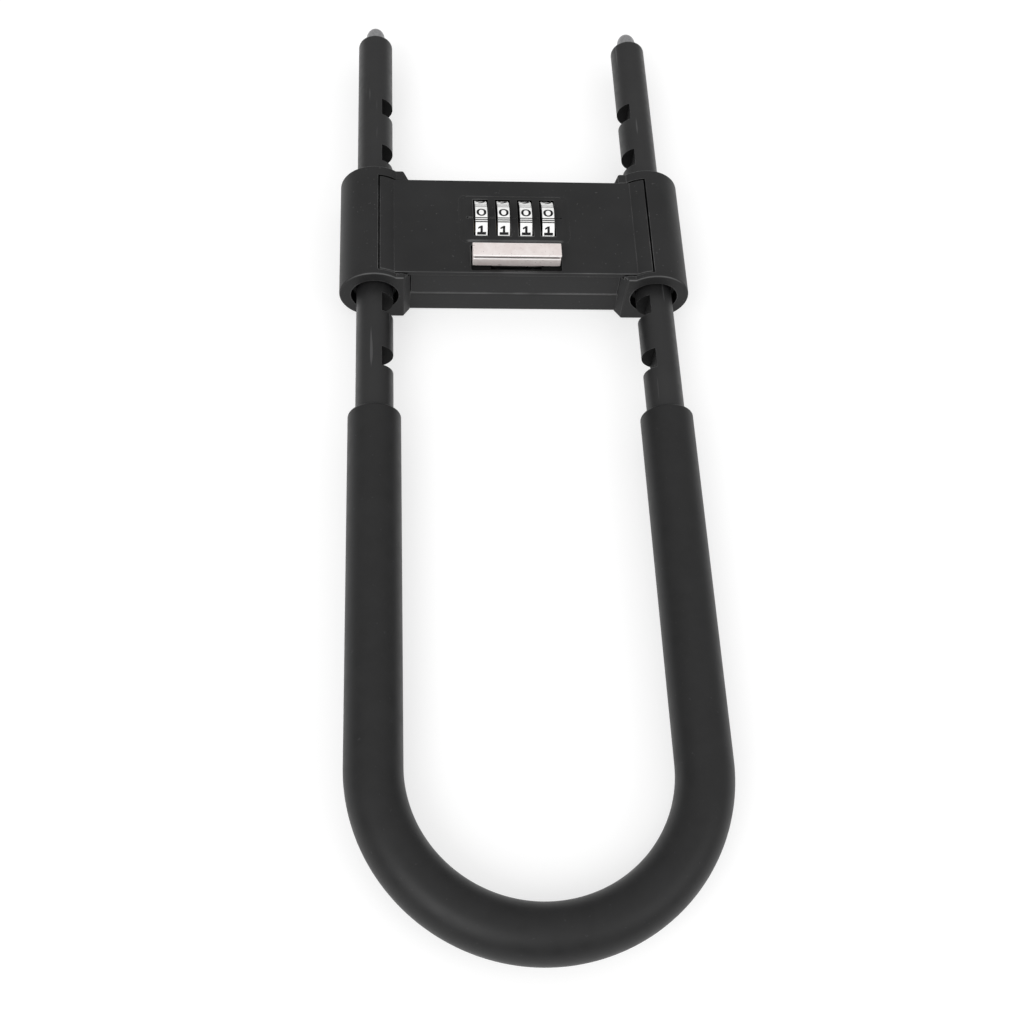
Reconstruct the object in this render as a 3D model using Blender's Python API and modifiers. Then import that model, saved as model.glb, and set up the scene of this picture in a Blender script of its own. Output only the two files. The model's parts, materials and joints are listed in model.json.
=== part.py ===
"""Long combination U lock: a notched steel shackle that slides through a four-dial lock case.

The frame's origin is under the middle of the lock, on the face that it rests on. +Y runs along
the legs towards their tips, X across them, and +Z up through the dials.
Rest pose: code 0000, slide bar towards the dials, both locking bolts clear of the legs.
"""
import math

import bmesh
import bpy
from mathutils import Matrix, Vector

MM = 0.001
GAP = 0.3 * MM  # left between two pieces that touch

# Shackle
LEG_SPACING = 100 * MM
BAR_RADIUS = 6.5 * MM
BAR_SIDES = 20
BEND_STEPS = 20
LEG_LENGTH = 303.5 * MM  # bend centre to tips
TAPER_LENGTH = 9.5 * MM
TIP_FACTOR = 0.42  # radius at the very tip, against the bar's
SLEEVE_RADIUS = 9.05 * MM
SLEEVE_BORE = BAR_RADIUS + GAP
SLEEVE_LEG = 123.5 * MM  # bend centre to the sleeve's ends
SLEEVE_ROUND = 1 * MM
NOTCH_COUNT = 6
NOTCH_PITCH = 22.76 * MM
NOTCH_FIRST = 144.2 * MM  # bend centre to the first notch
NOTCH_LENGTH = 7.7 * MM
NOTCH_FLAT = 2.55 * MM  # leg axis to the notch's floor

# Case base: a tray between two round bosses. Y values are from the middle of the bosses.
BOSS_RADIUS = 12.6 * MM
CASE_OFFSET = 198.4 * MM  # bend centre to the middle of the bosses
BOSS_LENGTH = 49 * MM
BOSS_EDGE = 0.7 * MM
FLANGE_TOP = 22.6 * MM
FLANGE_INNER = 39.4 * MM
CHEEK_INSET = 0.4 * MM
BODY_FRONT = -21.3 * MM
BODY_BACK = 20.2 * MM
BODY_EDGE = 1.2 * MM
SEAM_Z = 10.3 * MM
FLOOR = 2.2 * MM
WALL = 1.8 * MM
CAVITY_X = 36 * MM
BORE_RADIUS = 7.9 * MM
BUSH_LENGTH = 11.4 * MM
COUNTERBORE_RADIUS = 8.5 * MM
COUNTERBORE_DEPTH = 6 * MM
WIPER_LENGTH = 1.6 * MM

# Case cover: a plate with a wing over each boss, skirts and a raised dial panel
COVER_TOP = 23.0 * MM
COVER_UNDER = 20.9 * MM
COVER_FRONT = -21.9 * MM
COVER_BACK = 20.0 * MM
COVER_EDGE = 0.35 * MM
COVER_JOIN = COVER_UNDER + 0.6 * MM  # height where skirts and posts end inside the plate
WING_EDGE = 48.4 * MM
WING_DROP = 0.15 * MM  # wing's top below the boss's round
WING_CLEARANCE = (0.4 * MM, 0.5 * MM)  # to the recess, along X and at the front
SKIRT_END = 37.2 * MM
SKIRT_INSET = 0.6 * MM  # back skirt, in from the base's back face
PANEL_X = 19.9 * MM
PANEL_YS = (-8.6 * MM, 12.9 * MM)
PANEL_RISE = 0.6 * MM
PANEL_SLOPE = 2.3 * MM
PANEL_SHRINK = 0.91  # panel's flat against its foot, along Y
PANEL_CORNER = 2.6 * MM

# Fasteners
SCREW_PLACES = [(x, y) for x in (-33 * MM, 33 * MM) for y in (-17.1 * MM, 14.6 * MM)]
SCREW_HOLE = 1.4 * MM
SCREW_SINK = (2.5 * MM, 1.5 * MM)  # radius and depth
POST_RADIUS = 2.1 * MM
POST_SPLIT = 10 * MM
INNER_HOLE = 1.3 * MM

# Dials
DIAL_COUNT = 4
DIAL_PITCH = 8 * MM
DIAL_RADIUS = 11 * MM
DIAL_WIDTH = 4.4 * MM
DIAL_BORE = 4.5 * MM
DIAL_Z = 15.6 * MM
DIAL_Y = 2.3 * MM
DIAL_GROOVE = 0.22 * MM
DIGITS = 10
WINDOW_CLEARANCE = (0.45 * MM, 0.5 * MM)  # beside each dial, and round its rim
HUB_RADIUS = DIAL_BORE - GAP
HUB_BACK = -2.6 * MM
CAM_RADIUS = 4.75 * MM
CAM_ALONG = (2.5 * MM, 4.0 * MM)
SPINDLE_RADIUS = 1.5 * MM
SPACER_RADIUS = 3.6 * MM
SPACER_WIDTH = 0.8 * MM

# Dial frame and detent spring
FRAME_WALLS = [(-17.5 * MM, -16.1 * MM), (17.5 * MM, 18.9 * MM)]
FRAME_FOOT = (-24 * MM, 25.4 * MM)
FRAME_HALF = 5 * MM
FRAME_SHEET = 1.3 * MM
FRAME_SCREWS = [(x, DIAL_Y) for x in (-21.5 * MM, 22.9 * MM)]
CLIP_WIDTH = 0.6 * MM
CLIP_RADIUS = 2.8 * MM
SPRING_SHEET = 0.5 * MM
SPRING_FOOT = (13.2 * MM, 17.9 * MM)
SPRING_X = 22 * MM
SPRING_SCREWS = [(x, 15.6 * MM) for x in (-19.5 * MM, 19.5 * MM)]
LEAF_WIDTH = 3.6 * MM

# Slide bar
BUTTON_SIZE = (31.4 * MM, 5.8 * MM, 5.9 * MM)
BUTTON_LOW = 22.1 * MM
BUTTON_Y = -15.35 * MM
BUTTON_TRAVEL = 2.4 * MM
STEM_X = 8.4 * MM
STEM_HALF = 1.3 * MM
POCKET_YS = (-21.0 * MM, -9.6 * MM)
POCKET_FLOOR = 21.8 * MM
RIVET_XS = (-6 * MM, 6 * MM)
RIVET_HOLE = 1.0 * MM

# Fence plate and bolts
PLATE_LOW = 18.2 * MM
PLATE_HIGH = 19.8 * MM
FINGER_OFFSET = 3.25 * MM  # finger beside each dial's middle
FINGER_HALF = 0.6 * MM
BOLT_TRAVEL = 3.9 * MM
BOLT_Y = NOTCH_FIRST + 2 * NOTCH_PITCH - CASE_OFFSET
BOLT_WIDTH = 6.4 * MM
BOLT_HEIGHT = 5.6 * MM
BOLT_LENGTH = 19 * MM
BOLT_CLEARANCE = 0.4 * MM  # bolt's nose to the leg at rest
PIN_X = 26 * MM  # pin's place across the case at rest, on either side
PIN_RADIUS = 1.4 * MM
CHANNEL_BOTTOM = 10.2 * MM
CHANNEL_TOP = 16.6 * MM
CHANNEL_XS = (35.5 * MM, 46 * MM)
SHELF_XS = (24 * MM, 36.5 * MM)

LEG_X = LEG_SPACING / 2
OVERALL = LEG_LENGTH + LEG_X + SLEEVE_RADIUS
BEND_Y = LEG_X + SLEEVE_RADIUS - OVERALL / 2
CASE_Y = BEND_Y + CASE_OFFSET
LEG_Z = BOSS_RADIUS
BOSS_HALF = BOSS_LENGTH / 2
BOLT_REST_TIP = LEG_X - BAR_RADIUS - BOLT_CLEARANCE
DIAL_XS = [(i - (DIAL_COUNT - 1) / 2) * DIAL_PITCH for i in range(DIAL_COUNT)]
THROUGH = 40 * MM  # how far a cut runs past the case

PAINT = dict(color=(0.045, 0.045, 0.047), roughness=0.45, metallic=0.0)
STEEL = dict(color=(0.55, 0.55, 0.56), roughness=0.32, metallic=1.0)
BRASS = dict(color=(0.75, 0.58, 0.30), roughness=0.30, metallic=1.0)
ZINC = dict(color=(0.62, 0.63, 0.65), roughness=0.40, metallic=1.0)
RUBBER = dict(color=(0.020, 0.020, 0.021), roughness=0.65, metallic=0.0)
CHROME = dict(color=(0.86, 0.86, 0.87), roughness=0.18, metallic=1.0)


def new_collection(name):
    collection = bpy.data.collections.new(name)
    bpy.context.scene.collection.children.link(collection)
    return collection


def add_mesh(name, mesh, collection):
    obj = bpy.data.objects.new(name, mesh)
    collection.objects.link(obj)
    return obj


def from_bmesh(name, bm, collection):
    mesh = bpy.data.meshes.new(name)
    bm.to_mesh(mesh)
    bm.free()
    return add_mesh(name, mesh, collection)


def add_boxes(name, boxes, collection):
    """One object with a box for each (low corner, high corner) pair, in case coordinates."""
    bm = bmesh.new()
    for low, high in boxes:
        low, high = Vector(low), Vector(high)
        size = Matrix.Diagonal((*(high - low), 1))
        bmesh.ops.create_cube(bm, size=1, matrix=Matrix.Translation((low + high) / 2) @ size)
    return from_bmesh(name, bm, collection)


def add_rods(name, rods, collection, segments=12):
    """One object with a cylinder for each (start, end, radius) given, in case coordinates."""
    bm = bmesh.new()
    for start, end, radius in rods:
        start, end = Vector(start), Vector(end)
        run = end - start
        turn = run.to_track_quat("Z", "Y").to_matrix().to_4x4()
        place = Matrix.Translation((start + end) / 2) @ turn
        bmesh.ops.create_cone(
            bm,
            cap_ends=True,
            segments=segments,
            radius1=radius,
            radius2=radius,
            depth=run.length,
            matrix=place,
        )
    return from_bmesh(name, bm, collection)


def add_outline(name, loops, thickness, collection):
    """A flat plate from closed outlines in XY, centred on z = 0; inner loops are holes."""
    curve = bpy.data.curves.new(name, "CURVE")
    curve.dimensions = "2D"
    curve.fill_mode = "BOTH"
    curve.extrude = thickness / 2
    for loop in loops:
        spline = curve.splines.new("POLY")
        spline.points.add(len(loop) - 1)
        spline.use_cyclic_u = True
        for point, (x, y) in zip(spline.points, loop):
            point.co = (x, y, 0, 1)
    obj = bpy.data.objects.new(name, curve)
    collection.objects.link(obj)
    return curve_to_mesh(obj, collection)


def add_tube(name, path, radius, collection, sides):
    """A round bar along a path of (point, radius factor)."""
    curve = bpy.data.curves.new(name, "CURVE")
    curve.dimensions = "3D"
    curve.bevel_depth = radius
    curve.bevel_resolution = (sides - 4) // 2
    curve.use_fill_caps = True
    spline = curve.splines.new("POLY")
    spline.points.add(len(path) - 1)
    for point, (place, factor) in zip(spline.points, path):
        point.co = (*place, 1)
        point.radius = factor
    obj = bpy.data.objects.new(name, curve)
    collection.objects.link(obj)
    return curve_to_mesh(obj, collection)


def curve_to_mesh(obj, collection):
    """Replace a curve object by a closed mesh object of the same name."""
    bpy.context.view_layer.update()
    evaluated = obj.evaluated_get(bpy.context.evaluated_depsgraph_get())
    mesh = bpy.data.meshes.new_from_object(evaluated)
    name, place = obj.name, obj.matrix_world.copy()
    bpy.data.objects.remove(obj)
    bm = bmesh.new()
    bm.from_mesh(mesh)
    bmesh.ops.remove_doubles(bm, verts=bm.verts, dist=0.00001)
    bmesh.ops.recalc_face_normals(bm, faces=bm.faces)
    bm.to_mesh(mesh)
    bm.free()
    made = add_mesh(name, mesh, collection)
    made.matrix_world = place
    return made


def add_turned(name, profile, collection, steps=24, axis="X"):
    """A ring or shaft from an (along, radius) profile that runs up the axis on its outer side."""
    bm = bmesh.new()
    points = [bm.verts.new((radius, 0, along)) for along, radius in profile]
    for first, second in zip(points, points[1:] + points[:1]):
        bm.edges.new((first, second))
    obj = from_bmesh(name, bm, collection)
    screw = obj.modifiers.new("Turn", "SCREW")
    screw.steps = screw.render_steps = steps
    screw.use_merge_vertices = True
    screw.merge_threshold = 0.00001
    if axis == "X":
        obj.rotation_euler = (0, math.radians(90), 0)
    elif axis == "Y":
        obj.rotation_euler = (math.radians(-90), 0, 0)
    return obj


def ring_profile(low, high, inner, outer):
    """A rectangular section, run from the top of its outer side to the bottom."""
    return [(high, outer), (low, outer), (low, inner), (high, inner)]


def combine(obj, other, operation):
    modifier = obj.modifiers.new(operation.title(), "BOOLEAN")
    modifier.operation = operation
    modifier.object = other
    return obj


def soften(obj, width, segments=2, angle=40):
    bevel = obj.modifiers.new("Soft edges", "BEVEL")
    bevel.width = width
    bevel.segments = segments
    bevel.limit_method = "ANGLE"
    bevel.angle_limit = math.radians(angle)
    return obj


def finish(obj, look, parent=None, at=None, smooth=True):
    """Give the object its material and shading, and place it under its parent."""
    material = bpy.data.materials.new(obj.name)
    material.use_nodes = True
    shader = material.node_tree.nodes["Principled BSDF"]
    shader.inputs["Base Color"].default_value = (*look["color"], 1)
    shader.inputs["Roughness"].default_value = look["roughness"]
    shader.inputs["Metallic"].default_value = look["metallic"]
    obj.data.materials.clear()
    obj.data.materials.append(material)
    if smooth:
        obj.data.shade_smooth()
        obj.data.set_sharp_from_angle(angle=math.radians(30))
    if parent:
        obj.parent = parent
    if at:
        obj.location = at
    return obj


def add_empty(name, place, collection):
    empty = bpy.data.objects.new(name, None)
    empty.empty_display_size = 0.01
    empty.location = place
    collection.objects.link(empty)
    return empty


def u_path(tip_factor, body_length, tip_length):
    """Points along the U from one leg's end to the other, with a smaller end where given."""
    points = []
    for length, factor in ((tip_length, tip_factor), (body_length, 1.0)):
        points.append(((-LEG_X, BEND_Y + length, LEG_Z), factor))
    for step in range(BEND_STEPS + 1):
        angle = math.pi + math.pi * step / BEND_STEPS
        x, y = LEG_X * math.cos(angle), LEG_X * math.sin(angle)
        points.append(((x, BEND_Y + y, LEG_Z), 1.0))
    for length, factor in ((body_length, 1.0), (tip_length, tip_factor)):
        points.append(((LEG_X, BEND_Y + length, LEG_Z), factor))
    return points


def make_shackle(parts, cutters):
    """The notched bar, and the soft sleeve over its bend."""
    bar_path = u_path(TIP_FACTOR, LEG_LENGTH - TAPER_LENGTH, LEG_LENGTH)
    bar = add_tube("shackle_bar", bar_path, BAR_RADIUS, parts, BAR_SIDES)
    notches = []
    for side in (-1, 1):
        for step in range(NOTCH_COUNT):
            y = BEND_Y + NOTCH_FIRST + step * NOTCH_PITCH
            xs = sorted((side * (LEG_X - NOTCH_FLAT), side * (LEG_X - 2 * BAR_RADIUS)))
            low = (xs[0], y - NOTCH_LENGTH / 2, LEG_Z - 2 * BAR_RADIUS)
            high = (xs[1], y + NOTCH_LENGTH / 2, LEG_Z + 2 * BAR_RADIUS)
            notches.append((low, high))
    combine(bar, add_boxes("notch_cutter", notches, cutters), "DIFFERENCE")
    finish(bar, PAINT)

    outside = u_path(1 - SLEEVE_ROUND / SLEEVE_RADIUS, SLEEVE_LEG - SLEEVE_ROUND, SLEEVE_LEG)
    sleeve = add_tube("shackle_sleeve", outside, SLEEVE_RADIUS, parts, BAR_SIDES)
    inside = u_path(1, SLEEVE_LEG, SLEEVE_LEG + 5 * MM)
    core = add_tube("sleeve_cutter", inside, SLEEVE_BORE, cutters, BAR_SIDES)
    combine(sleeve, core, "DIFFERENCE")
    finish(sleeve, RUBBER)


def both_sides(boxes):
    """The boxes as given and mirrored across x = 0."""
    mirrored = [((-b[0], a[1], a[2]), (-a[0], b[1], b[2])) for a, b in boxes]
    return boxes + mirrored


def leg_rods(radius, start, end):
    """A rod round each leg's axis, from y = start to y = end."""
    return [((s * LEG_X, start, LEG_Z), (s * LEG_X, end, LEG_Z), radius) for s in (-1, 1)]


def upright_rods(places, low, high, radius):
    return [((x, y, low), (x, y, high), radius) for x, y in places]


def cheek_outline():
    """The slope from the left boss's inner side to the body, seen from above."""
    front, back = BOSS_EDGE - BOSS_HALF, BOSS_HALF - BOSS_EDGE
    knee = SKIRT_END + GAP
    inside = FLANGE_INNER + 2 * MM
    return [
        (-inside, front),
        (-FLANGE_INNER, front),
        (-knee, BODY_FRONT),
        (-knee, BODY_BACK - SKIRT_INSET),
        (-FLANGE_INNER, back),
        (-inside, back),
    ]


def boss_outline(side, steps=26):
    """Section of a boss in XZ: round outside, square inside, with its top corner at the flange."""
    rise = FLANGE_TOP - LEG_Z
    start = math.atan2(rise, -math.sqrt(BOSS_RADIUS**2 - rise**2))
    points = [(-FLANGE_INNER, 0), (-FLANGE_INNER, FLANGE_TOP)]
    for step in range(steps + 1):
        angle = start - (start + math.pi / 2) * step / steps
        x = LEG_X + BOSS_RADIUS * math.cos(angle)
        points.append((-x, LEG_Z + BOSS_RADIUS * math.sin(angle)))
    return [(-side * x, z) for x, z in points]


def make_base_shell(parts, cutters):
    """The tray's outside: body, two bosses and the cheeks between them."""
    body_end = FLANGE_INNER + 3 * MM
    body = ((-body_end, BODY_FRONT, 0), (body_end, BODY_BACK, SEAM_Z))
    base = add_boxes("case_base", [body], parts)
    soften(base, BODY_EDGE, 2)
    for side in (-1, 1):
        boss = add_outline("boss_shape", [boss_outline(side)], BOSS_LENGTH, cutters)
        boss.data.transform(Matrix.Rotation(math.radians(90), 4, "X"))
        soften(boss, BOSS_EDGE, 2, angle=50)
        combine(base, boss, "UNION")
        outline = [(-side * x, y) for x, y in cheek_outline()]
        cheek = add_outline("cheek_shape", [outline], FLANGE_TOP - 2 * CHEEK_INSET, cutters)
        cheek.location.z = FLANGE_TOP / 2
        combine(base, cheek, "UNION")
    return base


def make_base(parts, cutters, origin):
    """The tray, hollowed and bored, with posts, bolt shelves and bolt channels."""
    base = make_base_shell(parts, cutters)
    cavity_low = (-CAVITY_X, BODY_FRONT + WALL, FLOOR)
    cavity_high = (CAVITY_X, BODY_BACK - WALL, THROUGH)
    combine(base, add_boxes("cavity_cutter", [(cavity_low, cavity_high)], cutters), "DIFFERENCE")
    recess_low = (CAVITY_X, COVER_FRONT - WING_CLEARANCE[1], COVER_UNDER - GAP)
    recess_high = (WING_EDGE + WING_CLEARANCE[0], COVER_BACK + GAP, THROUGH)
    recess = both_sides([(recess_low, recess_high)])
    combine(base, add_boxes("wing_cutter", recess, cutters), "DIFFERENCE")

    bores = (
        ("bore_cutter", BAR_RADIUS + GAP, -BOSS_LENGTH, BOSS_LENGTH, 24),
        ("counterbore_cutter", COUNTERBORE_RADIUS, -BOSS_LENGTH, COUNTERBORE_DEPTH - BOSS_HALF, 28),
        ("bush_seat_cutter", BORE_RADIUS + GAP, BOSS_HALF - BUSH_LENGTH - 2 * GAP, BOSS_LENGTH, 28),
    )
    for name, radius, start, end, segments in bores:
        cutter = add_rods(name, leg_rods(radius, start, end), cutters, segments)
        combine(base, cutter, "DIFFERENCE")

    front, back = BOLT_Y - BOLT_WIDTH / 2 - GAP, BOLT_Y + BOLT_WIDTH / 2 + GAP
    shelves = both_sides([((SHELF_XS[0], front, FLOOR - GAP), (SHELF_XS[1], back, CHANNEL_BOTTOM))])
    combine(base, add_boxes("shelf_shape", shelves, cutters), "UNION")
    channels = both_sides([((CHANNEL_XS[0], front, CHANNEL_BOTTOM), (CHANNEL_XS[1], back, CHANNEL_TOP))])
    combine(base, add_boxes("channel_cutter", channels, cutters), "DIFFERENCE")

    posts = upright_rods(SCREW_PLACES, FLOOR - GAP, POST_SPLIT, POST_RADIUS)
    combine(base, add_rods("post_shape", posts, cutters), "UNION")
    holes = upright_rods(SCREW_PLACES, -1 * MM, POST_SPLIT + 2 * MM, SCREW_HOLE)
    sinks = upright_rods(SCREW_PLACES, -1 * MM, SCREW_SINK[1], SCREW_SINK[0])
    blind = upright_rods(FRAME_SCREWS + SPRING_SCREWS, 0.8 * MM, 5 * MM, INNER_HOLE)
    for name, rods in (("screw_hole", holes), ("screw_sink", sinks), ("inner_hole", blind)):
        combine(base, add_rods(name, rods, cutters), "DIFFERENCE")
    finish(base, PAINT, origin)


def cover_section(steps=6):
    """Right half of the cover plate's section in XZ: flat, then a wing that follows the boss."""
    radius = BOSS_RADIUS - WING_DROP
    start = math.pi - math.asin((COVER_TOP - LEG_Z) / radius)
    end = math.acos((WING_EDGE - LEG_X) / radius)
    points = []
    for step in range(steps + 1):
        angle = start + (end - start) * step / steps
        points.append((LEG_X + radius * math.cos(angle), LEG_Z + radius * math.sin(angle)))
    return points + [(WING_EDGE, COVER_UNDER)]


def rounded_outline(half_x, low_y, high_y, radius, steps=5):
    points = []
    for x, y, start in (
        (half_x - radius, low_y + radius, -90),
        (half_x - radius, high_y - radius, 0),
        (-half_x + radius, high_y - radius, 90),
        (-half_x + radius, low_y + radius, 180),
    ):
        for step in range(steps + 1):
            angle = math.radians(start + 90 * step / steps)
            points.append((x + radius * math.cos(angle), y + radius * math.sin(angle)))
    return points


def make_panel(cutters):
    """The raised dial panel: a shallow plateau with sloping sides."""
    outline = rounded_outline(PANEL_X, *PANEL_YS, PANEL_CORNER)
    panel = add_outline("panel_shape", [outline], 2 * PANEL_RISE, cutters)
    middle = sum(PANEL_YS) / 2
    for vertex in panel.data.vertices:
        if vertex.co.z > 0:
            vertex.co.x *= 1 - PANEL_SLOPE / PANEL_X
            vertex.co.y = middle + (vertex.co.y - middle) * PANEL_SHRINK
    panel.location.z = COVER_TOP
    return panel


def cut_windows(cover, cutters):
    """A round-bottomed window over each dial, the slide bar's pocket and its stem's slot."""
    half = DIAL_WIDTH / 2 + WINDOW_CLEARANCE[0]
    reach = DIAL_RADIUS + WINDOW_CLEARANCE[1]
    rods = [((x - half, DIAL_Y, DIAL_Z), (x + half, DIAL_Y, DIAL_Z), reach) for x in DIAL_XS]
    combine(cover, add_rods("window_cutter", rods, cutters, 56), "DIFFERENCE")
    pocket_x = BUTTON_SIZE[0] / 2 + 0.4 * MM
    pocket = ((-pocket_x, POCKET_YS[0], POCKET_FLOOR), (pocket_x, POCKET_YS[1], THROUGH))
    slot_x = STEM_X + 2 * GAP
    slot_front = BUTTON_Y - BUTTON_TRAVEL - STEM_HALF - GAP
    slot_back = BUTTON_Y + STEM_HALF + GAP
    slot = ((-slot_x, slot_front, PLATE_LOW), (slot_x, slot_back, THROUGH))
    combine(cover, add_boxes("pocket_cutter", [pocket], cutters), "DIFFERENCE")
    combine(cover, add_boxes("slot_cutter", [slot], cutters), "DIFFERENCE")


def make_cover(parts, cutters, origin):
    half = cover_section()
    outline = half + [(-x, z) for x, z in reversed(half)]
    cover = add_outline("case_cover", [outline], COVER_BACK - COVER_FRONT, parts)
    cover.data.transform(Matrix.Rotation(math.radians(90), 4, "X"))
    cover.data.transform(Matrix.Translation((0, (COVER_FRONT + COVER_BACK) / 2, 0)))
    soften(cover, COVER_EDGE, 2, angle=50)

    skirts = [
        ((-SKIRT_END, y, SEAM_Z + GAP), (SKIRT_END, y + WALL, COVER_JOIN))
        for y in (BODY_FRONT, BODY_BACK - SKIRT_INSET - WALL)
    ]
    combine(cover, add_boxes("skirt_shape", skirts, cutters), "UNION")
    combine(cover, make_panel(cutters), "UNION")
    posts = upright_rods(SCREW_PLACES, POST_SPLIT + GAP, COVER_JOIN, POST_RADIUS)
    combine(cover, add_rods("cover_post_shape", posts, cutters), "UNION")
    holes = upright_rods(SCREW_PLACES, POST_SPLIT / 2, 17.5 * MM, SCREW_HOLE)
    combine(cover, add_rods("cover_hole", holes, cutters), "DIFFERENCE")
    cut_windows(cover, cutters)
    finish(cover, PAINT, origin)


def make_bushes(parts, _cutters, origin):
    """A plastic liner at the back of each bore, and a rubber wiper in each counterbore."""
    inner = BAR_RADIUS + GAP
    bush_y = BOSS_HALF - BUSH_LENGTH - 0.2 * MM
    wiper_y = COUNTERBORE_DEPTH - BOSS_HALF - WIPER_LENGTH - GAP
    for side, word in ((-1, "left"), (1, "right")):
        profile = ring_profile(0, BUSH_LENGTH, inner, BORE_RADIUS)
        bush = add_turned(f"{word}_bore_bush", profile, parts, axis="Y")
        finish(bush, RUBBER, origin, (side * LEG_X, bush_y, LEG_Z))
        profile = ring_profile(0, WIPER_LENGTH, inner, COUNTERBORE_RADIUS - GAP)
        wiper = add_turned(f"{word}_bore_wiper", profile, parts, axis="Y")
        finish(wiper, RUBBER, origin, (side * LEG_X, wiper_y, LEG_Z))


def screw_profile(head_radius, head, radius, length):
    """Head down, shank up, axis on z."""
    shank = [(length, 0), (length, radius), (head, radius)]
    return shank + [(head, head_radius), (0, head_radius), (0, 0)]


def add_solid_turned(name, profile, collection, steps=12):
    """A solid turned about z whose profile starts and ends on the axis."""
    bm = bmesh.new()
    points = [bm.verts.new((radius, 0, along)) for along, radius in profile]
    for first, second in zip(points, points[1:]):
        bm.edges.new((first, second))
    obj = from_bmesh(name, bm, collection)
    screw = obj.modifiers.new("Turn", "SCREW")
    screw.steps = screw.render_steps = steps
    screw.use_merge_vertices = True
    screw.merge_threshold = 0.00001
    return obj


def make_screws(parts, _cutters, origin):
    """Four case screws from below, and the inner screws that hold the frame and the spring."""
    case_profile = screw_profile(2.1 * MM, 1.1 * MM, 1.1 * MM, 16 * MM)
    for index, (x, y) in enumerate(SCREW_PLACES, 1):
        screw = add_solid_turned(f"cover_screw_{index}", case_profile, parts)
        finish(screw, ZINC, origin, (x, y, 0.2 * MM))
    inner_profile = screw_profile(1.7 * MM, 0.8 * MM, 1.0 * MM, 2.9 * MM)
    for stem, places in (("frame_screw", FRAME_SCREWS), ("spring_screw", SPRING_SCREWS)):
        for index, (x, y) in enumerate(places, 1):
            screw = add_solid_turned(f"{stem}_{index}", inner_profile, parts)
            screw.rotation_euler = (math.radians(180), 0, 0)
            finish(screw, ZINC, origin, (x, y, 4.9 * MM))


def make_dial_frame(parts, cutters, origin):
    """A bent sheet that carries the dials' spindle, with a clip outside each wall."""
    floor = FLOOR + GAP
    front, back = DIAL_Y - FRAME_HALF, DIAL_Y + FRAME_HALF
    foot = ((FRAME_FOOT[0], front, floor), (FRAME_FOOT[1], back, floor + FRAME_SHEET))
    frame = add_boxes("dial_frame", [foot], parts)
    walls = [
        ((low, front, floor + FRAME_SHEET / 2), (high, back, COVER_UNDER - 2 * GAP))
        for low, high in FRAME_WALLS
    ]
    combine(frame, add_boxes("frame_wall_shape", walls, cutters), "UNION")
    bore = [((-THROUGH, DIAL_Y, DIAL_Z), (THROUGH, DIAL_Y, DIAL_Z), SPINDLE_RADIUS + GAP)]
    combine(frame, add_rods("spindle_cutter", bore, cutters), "DIFFERENCE")
    holes = upright_rods(FRAME_SCREWS, 0, 6 * MM, INNER_HOLE)
    combine(frame, add_rods("frame_hole_cutter", holes, cutters), "DIFFERENCE")
    finish(frame, STEEL, origin)

    left, right = FRAME_WALLS[0][0], FRAME_WALLS[1][1]
    overhang = 1.6 * MM
    run = ((left - overhang, 0, 0), (right + overhang, 0, 0), SPINDLE_RADIUS)
    spindle = add_rods("dial_spindle", [run], parts)
    finish(spindle, STEEL, origin, (0, DIAL_Y, DIAL_Z))
    profile = ring_profile(0, CLIP_WIDTH, SPINDLE_RADIUS + 0.2 * MM, CLIP_RADIUS)
    for word, x in (("left", left - GAP - CLIP_WIDTH), ("right", right + GAP)):
        clip = add_turned(f"spindle_clip_{word}", profile, parts, steps=12)
        finish(clip, STEEL, origin, (x, DIAL_Y, DIAL_Z))


def dial_outline():
    """A dial seen end on: ten digit faces with a pair of finger grooves between each two."""
    points = []
    for digit in range(DIGITS):
        middle = 360 * digit / DIGITS
        for offset, depth in (
            (-12.6, DIAL_GROOVE),
            (-11.6, 0),
            (-4, 0),
            (4, 0),
            (11.6, 0),
            (12.6, DIAL_GROOVE),
            (16.0, DIAL_GROOVE),
            (17.0, 0),
            (19.0, 0),
            (20.0, DIAL_GROOVE),
        ):
            angle = math.radians(middle + offset)
            radius = DIAL_RADIUS - depth
            points.append((radius * math.cos(angle), radius * math.sin(angle)))
    return points


def circle(radius, steps=16):
    angles = [2 * math.pi * step / steps for step in range(steps)]
    return [(radius * math.cos(angle), radius * math.sin(angle)) for angle in angles]


def make_dials(parts, cutters, origin):
    """Four dials, each with a hub whose gate lets the fence in at one digit."""
    bore = SPINDLE_RADIUS + GAP
    cam_start, cam_end = CAM_ALONG
    hub_profile = [
        (cam_end, CAM_RADIUS),
        (cam_start, CAM_RADIUS),
        (cam_start, HUB_RADIUS),
        (HUB_BACK, HUB_RADIUS),
        (HUB_BACK, bore),
        (cam_end, bore),
    ]
    gate_low = (cam_start - 0.2 * MM, -CAM_RADIUS - 1 * MM, 1.2 * MM)
    gate_high = (cam_end + 1 * MM, -CAM_RADIUS / 2, 5.2 * MM)
    for index, x in enumerate(DIAL_XS, 1):
        pivot = add_empty(f"dial_{index}_axis", (x, DIAL_Y, DIAL_Z), parts)
        pivot.parent = origin
        dial = add_outline(f"dial_{index}", [dial_outline(), circle(DIAL_BORE)], DIAL_WIDTH, parts)
        dial.data.transform(Matrix.Rotation(math.radians(90), 4, "Y"))
        finish(dial, CHROME, pivot)
        hub = add_turned(f"dial_hub_{index}", hub_profile, parts, steps=16)
        gate = add_boxes(f"gate_cutter_{index}", [(gate_low, gate_high)], cutters)
        gate.location = pivot.location
        gate.parent = origin
        combine(hub, gate, "DIFFERENCE")
        finish(hub, BRASS, pivot)


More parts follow.
